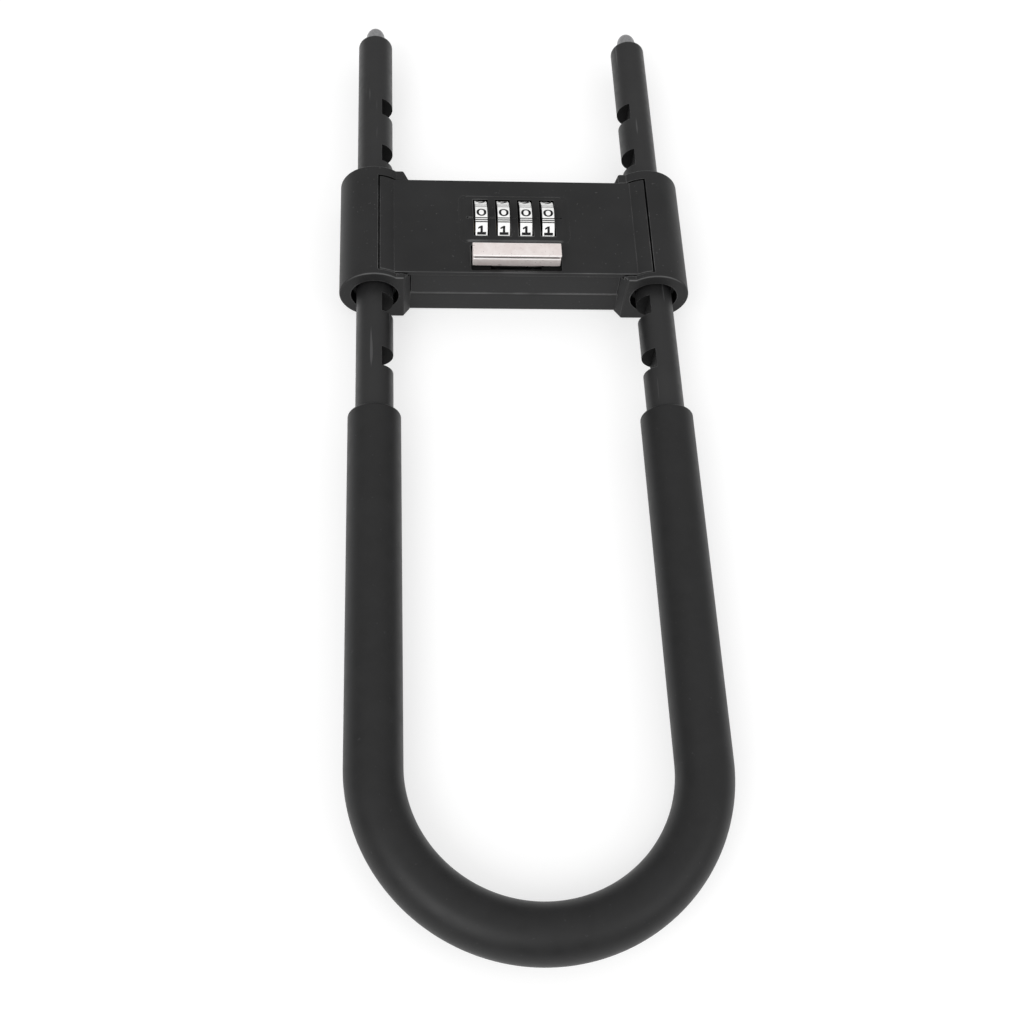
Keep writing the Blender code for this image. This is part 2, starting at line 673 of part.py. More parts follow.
def make_spacers(parts, _cutters, origin):
    """A thin washer on the spindle beside each dial."""
    xs = [DIAL_XS[0] - 3.7 * MM] + [x + 4.3 * MM for x in DIAL_XS]
    profile = ring_profile(0, SPACER_WIDTH, SPINDLE_RADIUS + GAP, SPACER_RADIUS)
    for index, x in enumerate(xs, 1):
        spacer = add_turned(f"dial_spacer_{index}", profile, parts, steps=12)
        finish(spacer, STEEL, origin, (x, DIAL_Y, DIAL_Z))


def make_detent_spring(parts, cutters, origin):
    """A sheet comb: one leaf behind each dial, standing on a common foot."""
    floor = FLOOR + GAP
    front, back = SPRING_FOOT
    foot = ((-SPRING_X, front, floor), (SPRING_X, back, floor + SPRING_SHEET))
    spring = add_boxes("detent_spring", [foot], parts)
    leaf = [
        (back - 0.6 * MM, floor + SPRING_SHEET / 2),
        (back, floor + SPRING_SHEET / 2),
        (15.6 * MM, 12 * MM),
        (14.9 * MM, 17.4 * MM),
        (14.2 * MM, 17.6 * MM),
        (14.0 * MM, 16.4 * MM),
        (14.6 * MM, 12 * MM),
    ]
    for index, x in enumerate(DIAL_XS, 1):
        finger = add_outline(f"leaf_shape_{index}", [leaf], LEAF_WIDTH, cutters)
        finger.data.transform(Matrix.Rotation(math.radians(90), 4, "X"))
        finger.data.transform(Matrix.Rotation(math.radians(90), 4, "Z"))
        finger.location = (x, 0, 0)
        finger.parent = origin
        combine(spring, finger, "UNION")
    holes = upright_rods(SPRING_SCREWS, 0, 6 * MM, INNER_HOLE)
    combine(spring, add_rods("spring_hole_cutter", holes, cutters), "DIFFERENCE")
    finish(spring, STEEL, origin)


def make_button(parts, cutters, origin, slide):
    """The slide bar, with a stem through the cover and two blind rivet wells in it."""
    length, depth, height = BUTTON_SIZE
    low_z = BUTTON_LOW - slide.location.z
    body = ((-length / 2, -depth / 2, low_z), (length / 2, depth / 2, low_z + height))
    button = add_boxes("slide_button", [body], parts)
    soften(button, BOSS_EDGE, 2)
    stem_low = PLATE_HIGH + GAP - slide.location.z
    stem = ((-STEM_X, -STEM_HALF, stem_low), (STEM_X, STEM_HALF, 2 * MM))
    wells = upright_rods([(x, 0) for x in RIVET_XS], -5 * MM, 2.4 * MM, RIVET_HOLE)
    for cutter, operation in (
        (add_boxes("stem_shape", [stem], cutters), "UNION"),
        (add_rods("rivet_well_cutter", wells, cutters), "DIFFERENCE"),
    ):
        cutter.location = slide.location
        cutter.parent = origin
        combine(button, cutter, operation)
    finish(button, ZINC, slide)


def make_plate(parts, cutters, origin, slide):
    """The fence plate under the cover: a finger for each dial, and a slanted slot for each bolt."""
    middle = ((-20 * MM, -16.6 * MM, PLATE_LOW), (20 * MM, -9.4 * MM, PLATE_HIGH))
    plate = add_boxes("fence_plate", [middle], parts)
    wings = both_sides([((18 * MM, -12.2 * MM, PLATE_LOW), (34.5 * MM, -3.2 * MM, PLATE_HIGH))])
    shapes = [(add_boxes("wing_shape", wings, cutters), "UNION")]
    fingers = []
    for x in DIAL_XS:
        low = (x + FINGER_OFFSET - FINGER_HALF, -10 * MM, PLATE_LOW)
        high = (x + FINGER_OFFSET + FINGER_HALF, DIAL_Y - CAM_RADIUS - GAP, PLATE_HIGH)
        fingers.append((low, high))
    shapes.append((add_boxes("finger_shape", fingers, cutters), "UNION"))
    shapes += [(add_slot_cutter(side, cutters), "DIFFERENCE") for side in (-1, 1)]
    holes = upright_rods([(x, BUTTON_Y) for x in RIVET_XS], 10 * MM, 30 * MM, RIVET_HOLE)
    shapes.append((add_rods("rivet_hole_cutter", holes, cutters), "DIFFERENCE"))
    for shape, operation in shapes:
        shape.parent = origin
        combine(plate, shape, operation)
    plate.data.transform(Matrix.Translation(-slide.location))
    finish(plate, STEEL, slide)


def make_slide(parts, cutters, origin):
    """The slide bar and its fence plate, riveted together."""
    slide = add_empty("button_slide_axis", (0, BUTTON_Y, 21.9 * MM), parts)
    slide.parent = origin
    make_button(parts, cutters, origin, slide)
    make_plate(parts, cutters, origin, slide)
    head, head_radius, shank_radius, length = 0.7 * MM, 1.5 * MM, 0.7 * MM, 5.6 * MM
    profile = screw_profile(head_radius, head, shank_radius, length)
    for word, x in zip(("left", "right"), RIVET_XS):
        rivet = add_solid_turned(f"slide_rivet_{word}", profile, parts)
        finish(rivet, STEEL, slide, (x, 0, PLATE_LOW - GAP - head - slide.location.z))


def add_slot_cutter(side, cutters):
    """The slanted slot that turns the plate's travel into the bolt's."""
    radius = PIN_RADIUS + GAP
    start = Vector((side * PIN_X, BOLT_Y))
    end = start + Vector((side * BOLT_TRAVEL, BUTTON_TRAVEL))
    heading = math.atan2((end - start).y, (end - start).x)
    points = []
    for centre, first in ((end, -90), (start, 90)):
        for step in range(9):
            angle = heading + math.radians(first + 180 * step / 8)
            points.append((centre.x + radius * math.cos(angle), centre.y + radius * math.sin(angle)))
    name = "left_slot_cutter" if side < 0 else "right_slot_cutter"
    slot = add_outline(name, [points], 6 * MM, cutters)
    slot.location.z = (PLATE_LOW + PLATE_HIGH) / 2
    return slot


def make_bolts(parts, cutters, origin):
    """Two bolts, each driven outwards by a pin that stands in the fence plate's slot."""
    middle = (CHANNEL_BOTTOM + CHANNEL_TOP) / 2
    seat_depth = 1.8 * MM
    for side, word in ((-1, "left"), (1, "right")):
        pivot = add_empty(f"{word}_bolt_axis", (side * BOLT_REST_TIP, BOLT_Y, middle), parts)
        pivot.parent = origin
        xs = sorted((0, -side * BOLT_LENGTH))
        low = (xs[0], -BOLT_WIDTH / 2, -BOLT_HEIGHT / 2)
        high = (xs[1], BOLT_WIDTH / 2, BOLT_HEIGHT / 2)
        bolt = add_boxes(f"{word}_bolt", [(low, high)], parts)
        soften(bolt, 0.4 * MM, 1)
        pin_x = side * (PIN_X - BOLT_REST_TIP)
        seat_run = ((pin_x, 0, -seat_depth), (pin_x, 0, BOLT_HEIGHT), PIN_RADIUS + GAP)
        seat = add_rods(f"{word}_pin_seat_cutter", [seat_run], cutters)
        seat.location = pivot.location
        seat.parent = origin
        combine(bolt, seat, "DIFFERENCE")
        finish(bolt, STEEL, pivot)
        pin_run = ((0, 0, 0), (0, 0, PLATE_HIGH - middle + seat_depth - GAP), PIN_RADIUS)
        pin = add_rods(f"{word}_bolt_pin", [pin_run], parts)
        finish(pin, STEEL, pivot, (pin_x, 0, GAP - seat_depth))


def main():
    for obj in list(bpy.data.objects):
        bpy.data.objects.remove(obj)
    parts = new_collection("u_lock")
    cutters = new_collection("cutters")
    origin = add_empty("case_origin", (0, CASE_Y, 0), parts)
    make_shackle(parts, cutters)
    for make in (
        make_base,
        make_cover,
        make_bushes,
        make_screws,
        make_dial_frame,
        make_dials,
        make_spacers,
        make_detent_spring,
        make_slide,
        make_bolts,
    ):
        make(parts, cutters, origin)
    for cutter in cutters.objects:
        cutter.hide_render = True
        cutter.display_type = "WIRE"
        if cutter.parent is None and not cutter.name.startswith(("notch", "sleeve")):
            cutter.parent = origin


main()
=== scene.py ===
"""Looks of the long combination U lock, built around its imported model.

Sizes and places come from the frame, or are named here in the design's own units.
Lengths are in metres, +Z up, +Y along the legs towards their tips.
The case and all that it holds are laid out with y from the case's middle, CASE_Y.
"""
import json
import math

import bmesh
import bpy
from mathutils import Euler, Matrix, Vector


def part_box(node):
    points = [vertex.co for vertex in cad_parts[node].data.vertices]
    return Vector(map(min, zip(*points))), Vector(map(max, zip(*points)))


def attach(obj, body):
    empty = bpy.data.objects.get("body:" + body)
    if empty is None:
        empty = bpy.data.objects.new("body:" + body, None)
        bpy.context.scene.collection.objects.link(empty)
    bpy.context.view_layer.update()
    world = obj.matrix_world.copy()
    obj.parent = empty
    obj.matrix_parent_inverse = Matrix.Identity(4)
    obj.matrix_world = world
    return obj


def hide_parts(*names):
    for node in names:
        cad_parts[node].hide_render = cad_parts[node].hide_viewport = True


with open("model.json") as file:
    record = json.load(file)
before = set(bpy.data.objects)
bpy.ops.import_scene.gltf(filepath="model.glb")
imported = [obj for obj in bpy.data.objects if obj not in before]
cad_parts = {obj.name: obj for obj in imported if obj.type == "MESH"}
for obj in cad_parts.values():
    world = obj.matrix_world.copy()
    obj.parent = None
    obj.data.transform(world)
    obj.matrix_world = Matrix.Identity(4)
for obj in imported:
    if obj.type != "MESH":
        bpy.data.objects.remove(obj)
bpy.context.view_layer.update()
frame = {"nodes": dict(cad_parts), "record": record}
MM = 0.001

# Shackle, read from the frame
BAR_LOW, BAR_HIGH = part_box("shackle_bar")
SLEEVE_LOW, SLEEVE_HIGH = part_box("shackle_sleeve")
BAR_RADIUS = (BAR_HIGH[2] - BAR_LOW[2]) / 2
SLEEVE_RADIUS = (SLEEVE_HIGH[2] - SLEEVE_LOW[2]) / 2
LEG_X = (BAR_HIGH[0] - BAR_LOW[0]) / 2 - BAR_RADIUS
LEG_Z = (BAR_HIGH[2] + BAR_LOW[2]) / 2
BEND_Y = BAR_LOW[1] + LEG_X + BAR_RADIUS
TIP_Y = BAR_HIGH[1]
SLEEVE_END = SLEEVE_HIGH[1]

# Shackle: notches counted from the bend, tips, and the sleeve's ends
NOTCH_COUNT = 6
NOTCH_PITCH = 22.76 * MM
NOTCH_FIRST = 144.2 * MM
NOTCH_LENGTH = 7.7 * MM
NOTCH_FLAT = 2.55 * MM
TIP_RINGS = [  # (back from the tip, radius): rounded shoulder, its face, then the domed nose
    (9.8 * MM, BAR_RADIUS),
    (9.3 * MM, 6.42 * MM),
    (8.85 * MM, 6.2 * MM),
    (8.5 * MM, 5.85 * MM),
    (8.0 * MM, 4.9 * MM),
    (7.5 * MM, 4.1 * MM),
    (7.2 * MM, 3.9 * MM),
    (4.2 * MM, 3.6 * MM),
    (3.0 * MM, 3.4 * MM),
    (2.0 * MM, 3.02 * MM),
    (1.1 * MM, 2.45 * MM),
    (0.45 * MM, 1.65 * MM),
    (0.1 * MM, 0.8 * MM),
    (0.0, 0.3 * MM),
]
BARE_NOSE = 7.9 * MM
TUBE_SIDES = 64
BEND_STEPS = 96
LEG_STEP = 12 * MM
SLEEVE_LIP = 1.1 * MM
LIP_STEPS = 6
SLEEVE_BORE = BAR_RADIUS + 0.3 * MM
MOUTH_DEPTH = 0.4 * MM
MOUTH_FLARE = 0.3 * MM

# Case base
BASE_LOW, BASE_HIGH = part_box("case_base")
CASE_Y = (BASE_LOW[1] + BASE_HIGH[1]) / 2
BOSS_RADIUS = BASE_HIGH[0] - LEG_X
BOSS_HALF = (BASE_HIGH[1] - BASE_LOW[1]) / 2
BOSS_EDGE = 0.7 * MM
GAP = 0.3 * MM
FLANGE_TOP = 22.6 * MM
FLANGE_INNER = 39.4 * MM
CHEEK_INSET = 0.4 * MM
CHEEK_OVERLAP = 2 * MM
BODY_FRONT = -21.3 * MM
BODY_BACK = 20.2 * MM
BODY_OVERLAP = 3 * MM
BODY_EDGE = 1.2 * MM
SEAM_Z = 10.3 * MM
FLOOR = 2.2 * MM
WALL = 1.8 * MM
CAVITY_X = 36 * MM
THROUGH = 40 * MM  # where cutters that reach up out of the case end
COUNTERBORE_RADIUS = 8.5 * MM
COUNTERBORE_DEPTH = 6 * MM
BORE_RADIUS = 7.9 * MM
BORE_DEPTH = 12 * MM
BOLT_Y = NOTCH_FIRST + 2 * NOTCH_PITCH + BEND_Y - CASE_Y
BOLT_HALF = 3.5 * MM
SHELF_X = 24 * MM
CHANNEL_X = 46 * MM
CHANNEL_ZS = (10.2 * MM, 16.6 * MM)
CHANNEL_OVERLAP = 0.5 * MM

# Screws of the cover, and the posts and holes that take them
SCREW_PLACES = [(x, y) for x in (-33 * MM, 33 * MM) for y in (-17.1 * MM, 14.6 * MM)]
POST_RADIUS = 2.1 * MM
POST_SPLIT = 10 * MM
UNDER_CASE = -1 * MM  # where cutters from below start
SINK_RADIUS = 2.5 * MM
SINK_DEPTH = 1.5 * MM
HOLE_RADIUS = 1.4 * MM
HOLE_DEPTH = 12 * MM
HEAD_RADIUS = 2.1 * MM
HEAD_HEIGHT = 1.1 * MM
HEAD_EDGE = 0.3 * MM
SHANK_RADIUS = 1.1 * MM
SHANK_START = 0.6 * MM
CROSS_HALVES = (1.4 * MM, 0.3 * MM)
CROSS_DEPTH = 0.7 * MM

# Cover
COVER_TOP = 23.0 * MM
COVER_UNDER = 20.9 * MM
COVER_FRONT = -21.9 * MM
COVER_BACK = 20.0 * MM
COVER_EDGE = 0.35 * MM
COVER_JOIN = COVER_UNDER + 0.6 * MM
RECESS_SLACK = 0.5 * MM
WING_EDGE = 48.3 * MM
WING_DROP = 0.15 * MM
SKIRT_END = 37.2 * MM
SKIRT_INSET = 0.6 * MM
PANEL_X = 19.9 * MM
PANEL_YS = (-8.6 * MM, 12.9 * MM)
PANEL_CORNER = 2.6 * MM
PANEL_RISE = 0.6 * MM
PANEL_SLOPE = 2.3 * MM
PANEL_SHRINK = 0.91
PANEL_RINGS = [  # (share of the slope, height): foot, hollow, steep middle, rounding, flat
    (0.0, -PANEL_RISE),
    (0.0, 0.03 * MM),
    (0.25, 0.06 * MM),
    (0.42, 0.14 * MM),
    (0.78, 0.50 * MM),
    (0.90, 0.57 * MM),
    (1.0, PANEL_RISE),
]
WINDOW_GAP = 0.5 * MM
LINE_HALF = 0.2 * MM
LINE_INSET = 0.8 * MM
LINE_DEPTH = 0.22 * MM
POCKET_YS = (-21.0 * MM, -9.6 * MM)
POCKET_FLOOR = 21.8 * MM
POCKET_GAP = 0.4 * MM
POCKET_CORNER = 0.8 * MM
SLOT_FLOOR = 15 * MM

# Dials, and the numerals round them
DIAL_COUNT = 4
DIAL_LOW, DIAL_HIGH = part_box("dial_1")
DIAL_RADIUS = (DIAL_HIGH[2] - DIAL_LOW[2]) / 2
DIAL_WIDTH = DIAL_HIGH[0] - DIAL_LOW[0]
DIAL_BORE = 4.5 * MM
DIAL_Y = 2.3 * MM
DIAL_Z = 15.6 * MM
DIAL_PITCH = 8 * MM
DIAL_XS = [(i - (DIAL_COUNT - 1) / 2) * DIAL_PITCH for i in range(DIAL_COUNT)]
DIAL_STEPS = 720
RIM_EDGE = 0.35 * MM
RIM_STEPS = 4
DIGITS = 10
DIGIT_ANGLE = 360 / DIGITS
DIGIT_HEIGHT = 3.2 * MM
DIGIT_WIDTH = 3.55 * MM
DIGIT_ROWS = 9.5  # strips that a numeral is split into, so that it can bend round the rim
GROOVES = (12, 16, -16)  # degrees from a digit's middle: three fine grooves between neighbours
GROOVE_HALF = 1.25  # degrees
GROOVE_DEPTH = 0.3 * MM
DARK_DEPTH = 0.55 * GROOVE_DEPTH
FLANK_FACING = 0.95  # a face whose normal is this far along x is on a flank
FONT_SIZE = 5 * MM
FONT_SWELL = 0.03 * MM
FONT_STEPS = 6
INK_PROUD = 0.035 * MM
INK_SUNK = 0.05 * MM
ONE_SHARE = 0.9
ONE = [  # outline of the numeral one, in a unit square about its middle: stem, flag and foot
    (-0.5, -0.5),
    (0.5, -0.5),
    (0.5, -0.2),
    (0.13, -0.2),
    (0.13, 0.5),
    (-0.06, 0.5),
    (-0.4, 0.3),
    (-0.4, 0.12),
    (-0.13, 0.24),
    (-0.13, -0.2),
    (-0.5, -0.2),
]

# Slide bar
BUTTON_LOW, BUTTON_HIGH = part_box("slide_button")
BUTTON_Y = -15.35 * MM
BUTTON_TRAVEL = 2.4 * MM
BUTTON_EDGE = 0.3 * MM
LIP = 0.9 * MM
LIP_PROUD = 0.12 * MM
LIP_GROOVE = 1.15 * MM
NECK_INSET = 0.7 * MM
BLOCK_SUNK = 1.0 * MM
STEM_X = 8.4 * MM
STEM_HALF = 1.3 * MM
STEM_OVERLAP = 1.0 * MM

# Stage: the photo's camera, fitted to the shackle's outline, and the lights' powers in watts
CAMERA_PLACE = (-0.04638, -0.26474, 0.43744)
CAMERA_TURN = (28.981, -3.808, -2.147)
CAMERA_LENS = 51.8
CAMERA_SHIFT = (0.0139, -0.0147)
SENSOR_WIDTH = 36
CLIP_START = 0.01
FLOOR_SIZE = 6
FLOOR_DROP = 0.3 * MM
FLOOR_GLOW = 0.58
HORIZON = 0.35
ZENITH = 1.0
KEY_PLACE = (-0.9, -1.1, 1.3)
KEY_POWER = 15
FILL_PLACE = (1.2, -0.8, 1.2)
FILL_POWER = 6
LIGHT_SIZE = (1.2, 1.2)

# Materials: nearly all of a noise's values lie in this range
NOISE_LOW = 0.3
NOISE_HIGH = 0.7


# ---------------------------------------------------------------- materials


class Finish:
    """A Principled material, with helpers that chain nodes in object space."""

    def __init__(self, name, color, roughness, metallic=0.0):
        self.material = bpy.data.materials.new(name)
        self.material.use_nodes = True
        self.nodes = self.material.node_tree.nodes
        self.links = self.material.node_tree.links
        self.shader = self.nodes["Principled BSDF"]
        self.set("Base Color", (*color, 1))
        self.set("Roughness", roughness)
        self.set("Metallic", metallic)
        self.place = self.nodes.new("ShaderNodeTexCoord").outputs["Object"]

    def set(self, name, value):
        self.shader.inputs[name].default_value = value

    def drive(self, name, value):
        self.links.new(value, self.shader.inputs[name])

    def node(self, kind, inputs=None, **settings):
        node = self.nodes.new(kind)
        for key, value in settings.items():
            setattr(node, key, value)
        for key, value in (inputs or {}).items():
            if isinstance(value, bpy.types.NodeSocket):
                self.links.new(value, node.inputs[key])
            else:
                node.inputs[key].default_value = value
        return node

    def stretched(self, scale):
        return self.node("ShaderNodeMapping", {"Vector": self.place, "Scale": scale}).outputs[0]

    def noise(self, per_metre, detail=3.0, rough=0.5, stretch=None):
        inputs = {
            "Vector": self.stretched(stretch) if stretch else self.place,
            "Scale": per_metre,
            "Detail": detail,
            "Roughness": rough,
        }
        return self.node("ShaderNodeTexNoise", inputs).outputs["Fac"]

    def spread(self, value, low, high, to_low, to_high):
        inputs = {
            "Value": value,
            "From Min": low,
            "From Max": high,
            "To Min": to_low,
            "To Max": to_high,
        }
        return self.node("ShaderNodeMapRange", inputs).outputs["Result"]

    def vary(self, noise, to_low=0.0, to_high=1.0):
        """A noise's usual range, spread from to_low to to_high."""
        return self.spread(noise, NOISE_LOW, NOISE_HIGH, to_low, to_high)

    def math(self, operation, first, second=0.0):
        return self.node("ShaderNodeMath", {0: first, 1: second}, operation=operation).outputs[0]

    def times(self, first, second):
        return self.math("MULTIPLY", first, second)

    def most(self, first, second):
        return self.math("MAXIMUM", first, second)

    def blend(self, factor, first, second):
        """Colour that goes from first to second."""
        node = self.nodes.new("ShaderNodeMix")
        node.data_type = "RGBA"
        self.links.new(factor, node.inputs[0])
        for index, value in ((6, first), (7, second)):
            if isinstance(value, bpy.types.NodeSocket):
                self.links.new(value, node.inputs[index])
            else:
                node.inputs[index].default_value = (*value, 1)
        return node.outputs[2]

    def bump(self, height, distance, strength):
        inputs = {"Height": height, "Distance": distance, "Strength": strength}
        self.drive("Normal", self.node("ShaderNodeBump", inputs).outputs["Normal"])

    def axis(self, name):
        split = self.node("ShaderNodeSeparateXYZ", {"Vector": self.place})
        return split.outputs[name]

    def edges(self, radius, breakup):
        """1 on convex and concave edges, broken up by a noise, 0 on open faces."""
        rounded = self.node("ShaderNodeBevel", {"Radius": radius}, samples=4).outputs["Normal"]
        plain = self.node("ShaderNodeNewGeometry").outputs["Normal"]
        dot = self.node("ShaderNodeVectorMath", {0: rounded, 1: plain}, operation="DOT_PRODUCT")
        worn = self.spread(dot.outputs["Value"], 0.985, 0.90, 0.0, 1.0)
        return self.times(worn, self.spread(breakup, 0.42, 0.62, 0.15, 1.0))

    def ridge(self, low, high):
        """1 on bevels between the top and a front or back face, 0 on open faces: the mask of a
        painted highlight.
        """
        facing = self.node("ShaderNodeTexCoord").outputs["Normal"]
        split = self.node("ShaderNodeSeparateXYZ", {"Vector": facing})
        both = self.times(split.outputs["Y"], split.outputs["Z"])
        return self.spread(self.math("ABSOLUTE", both), low, high, 0.0, 1.0)

    def scratches(self, per_metre, stretch, low, high):
        """Thin lines: 1 on a scratch, 0 elsewhere."""
        streak = self.noise(per_metre, detail=2.0, rough=0.4, stretch=stretch)
        return self.spread(streak, low, high, 0.0, 1.0)


def powder_coat():
    """Satin black powder coat: fine grain, a slow drift of tone, dust specks, and edges lightened
    by rubbed wear and a painted highlight.
    """
    dark, light = (0.0180, 0.0180, 0.0183), (0.0235, 0.0235, 0.0238)
    dust, wear_and_highlight_grey = (0.10, 0.10, 0.10), (0.17, 0.17, 0.17)
    finish = Finish("black_powder_coat", (0.013, 0.013, 0.0133), 0.45)
    grain = finish.noise(2600, detail=2.0, rough=0.6)
    cloud = finish.noise(60, detail=4.0)
    body = finish.blend(finish.vary(cloud), dark, light)
    specks = finish.spread(finish.noise(1100, detail=1.0), 0.745, 0.775, 0.0, 0.45)
    dusty = finish.blend(specks, body, dust)
    # Lighter grey on the edges (rubbed wear with painted highlight), and a painted highlight on the
    # bevels between the top and the front or back.
    ridge = finish.times(finish.ridge(0.28, 0.46), finish.spread(cloud, 0.35, 0.6, 0.25, 0.55))
    lighter_edges = finish.most(finish.times(finish.edges(0.5 * MM, cloud), 0.8), ridge)
    finish.drive("Base Color", finish.blend(lighter_edges, dusty, wear_and_highlight_grey))
    finish.drive("Roughness", finish.vary(cloud, 0.40, 0.50))
    finish.bump(grain, 0.05 * MM, 0.5)
    finish.set("Specular IOR Level", 0.14)
    return finish.material


def raw_cavity():
    """Painted shade: a near-black matte for recesses, bores, notches, windows and grooves, where
    the light hardly reaches.
    """
    dark, light = (0.0028, 0.0028, 0.0028), (0.0060, 0.0060, 0.0062)
    finish = Finish("raw_cavity", (0.004, 0.004, 0.004), 0.65)
    cloud = finish.noise(400, detail=3.0)
    finish.drive("Base Color", finish.blend(cloud, dark, light))
    finish.drive("Roughness", finish.vary(cloud, 0.58, 0.72))
    finish.bump(cloud, 0.05 * MM, 0.5)
    finish.set("Specular IOR Level", 0.12)
    return finish.material


def shackle_paint():
    """Satin black paint, which stops at the tips, where the steel nose is bare."""
    dark, light = (0.0115, 0.0115, 0.0118), (0.0160, 0.0160, 0.0163)
    scuff = (0.10, 0.10, 0.102)
    dull_steel, bright_steel = (0.16, 0.16, 0.165), (0.34, 0.34, 0.345)
    nose_start, paint_edge = TIP_Y - BARE_NOSE, 0.15 * MM
    finish = Finish("shackle_paint", (0.0135, 0.0135, 0.0138), 0.42)
    peel = finish.noise(420, detail=2.0)
    fine = finish.noise(3000, detail=2.0)
    wobble = finish.times(finish.noise(500, detail=3.0), 0.3 * MM)
    reach = finish.math("ADD", finish.axis("Y"), wobble)
    bare = finish.spread(reach, nose_start, nose_start + paint_edge, 0.0, 1.0)
    marks = finish.scratches(500, (1.0, 0.06, 1.0), 0.705, 0.74)
    paint = finish.blend(finish.vary(finish.noise(45, detail=4.0)), dark, light)
    lighter_edges = finish.times(finish.edges(0.35 * MM, peel), 0.7)
    scuffed = finish.blend(finish.most(finish.times(marks, 0.4), lighter_edges), paint, scuff)
    steel = finish.blend(finish.noise(1500), dull_steel, bright_steel)
    finish.drive("Base Color", finish.blend(bare, scuffed, steel))
    finish.drive("Metallic", finish.times(bare, 0.35))
    rough = finish.vary(peel, 0.38, 0.47)
    finish.drive("Roughness", finish.math("SUBTRACT", rough, finish.times(bare, 0.05)))
    finish.bump(finish.math("ADD", peel, finish.times(fine, 0.25)), 0.03 * MM, 0.6)
    finish.set("Specular IOR Level", 0.35)
    return finish.material


def vinyl():
    """Dipped vinyl sleeve: matte and softly mottled, with pores and dust."""
    dark, light = (0.0078, 0.0078, 0.0080), (0.0115, 0.0115, 0.0118)
    dust = (0.035, 0.035, 0.036)
    finish = Finish("black_vinyl", (0.0095, 0.0095, 0.0098), 0.5)
    mottle = finish.noise(160, detail=5.0, rough=0.6)
    pores = finish.noise(2200, detail=2.0)
    specks = finish.spread(finish.noise(700, detail=2.0), 0.70, 0.78, 0.0, 0.5)
    body = finish.blend(finish.vary(mottle), dark, light)
    finish.drive("Base Color", finish.blend(specks, body, dust))
    finish.drive("Roughness", finish.vary(mottle, 0.42, 0.52))
    height = finish.math("ADD", finish.times(mottle, 1.5), finish.times(pores, 0.4))
    finish.bump(height, 0.05 * MM, 0.6)
    finish.set("Specular IOR Level", 0.30)
    return finish.material


def satin_plate():
    """Slide bar: warm satin plating, with pits and short scuffs, and a painted highlight on its
    edges and on the bevels between its top and front or back.
    """
    dull, warm = (0.70, 0.62, 0.60), (0.80, 0.74, 0.72)
    highlight_tone, pit = (1.0, 0.98, 0.97), (0.16, 0.13, 0.12)
    finish = Finish("satin_plate", (0.84, 0.79, 0.77), 0.42, metallic=0.2)
    cloud = finish.noise(300, detail=4.0, rough=0.6)
    brushed = finish.noise(900, detail=3.0, stretch=(0.08, 1.0, 1.0))
    pits = finish.spread(finish.noise(1700, detail=2.0), 0.69, 0.74, 0.0, 1.0)
    scuffs = finish.scratches(700, (0.25, 1.0, 1.0), 0.715, 0.75)
    plating = finish.blend(finish.vary(cloud), dull, warm)
    worn = finish.times(finish.most(pits, scuffs), 0.75)
    # Painted highlight: near-white on the edges and on the bevels between the top and the front or
    # back.
    painted_highlight = finish.most(finish.edges(0.4 * MM, cloud), finish.ridge(0.2, 0.4))
    bright = finish.blend(painted_highlight, plating, highlight_tone)
    finish.drive("Base Color", finish.blend(worn, bright, pit))
    finish.drive("Roughness", finish.vary(brushed, 0.34, 0.50))
    finish.bump(finish.math("SUBTRACT", finish.times(brushed, 0.4), worn), 0.05 * MM, 0.6)
    return finish.material


def satin_chrome():
    """Number dials: bright satin plating, turned lines round the rim."""
    dull, bright = (0.84, 0.84, 0.83), (0.96, 0.96, 0.95)
    finish = Finish("satin_chrome", (0.90, 0.90, 0.89), 0.36, metallic=0.2)
    turned = finish.noise(1600, detail=2.0, stretch=(1.0, 0.05, 0.05))
    finish.drive("Base Color", finish.blend(finish.noise(350, detail=3.0), dull, bright))
    finish.drive("Roughness", finish.vary(turned, 0.30, 0.44))
    finish.bump(turned, 0.02 * MM, 0.5)
    return finish.material


def number_ink():
    """Black print of the numerals, faintly flecked."""
    dark, light = (0.003, 0.003, 0.0035), (0.010, 0.010, 0.011)
    finish = Finish("number_ink", light, 0.5)
    fleck = finish.noise(2500, detail=2.0)
    finish.drive("Base Color", finish.blend(fleck, dark, light))
    finish.drive("Roughness", finish.vary(fleck, 0.42, 0.6))
    finish.bump(fleck, 0.02 * MM, 0.4)
    finish.set("Specular IOR Level", 0.2)
    return finish.material


def worked_metal(name, low, high, roughness, stretch=(1.0, 1.0, 1.0)):
    """Machined or pressed metal: roughness and height follow one grain, the tone drifts slowly."""
    finish = Finish(name, low, roughness, metallic=1.0)
    grain = finish.noise(900, detail=3.0, stretch=stretch)
    finish.drive("Base Color", finish.blend(finish.noise(120, detail=3.0), low, high))
    finish.drive("Roughness", finish.vary(grain, roughness - 0.08, roughness + 0.08))
    finish.bump(grain, 0.02 * MM, 0.5)
    return finish.material


def moulded(name, color, roughness):
    """Nylon or rubber as it leaves the mould, with a fine spark."""
    finish = Finish(name, color, roughness)
    spark = finish.noise(1800, detail=2.0)
    darker, lighter = [tuple(c * share for c in color) for share in (0.8, 1.25)]
    finish.drive("Base Color", finish.blend(finish.noise(200, detail=3.0), darker, lighter))
    finish.drive("Roughness", finish.vary(spark, roughness - 0.06, roughness + 0.06))
    finish.bump(spark, 0.03 * MM, 0.5)
    return finish.material


# ---------------------------------------------------------------- shape tools


def link(obj):
    bpy.context.scene.collection.objects.link(obj)
    return obj


def from_bmesh(name, bm):
    mesh = bpy.data.meshes.new(name)
    bm.to_mesh(mesh)
    bm.free()
    return link(bpy.data.objects.new(name, mesh))


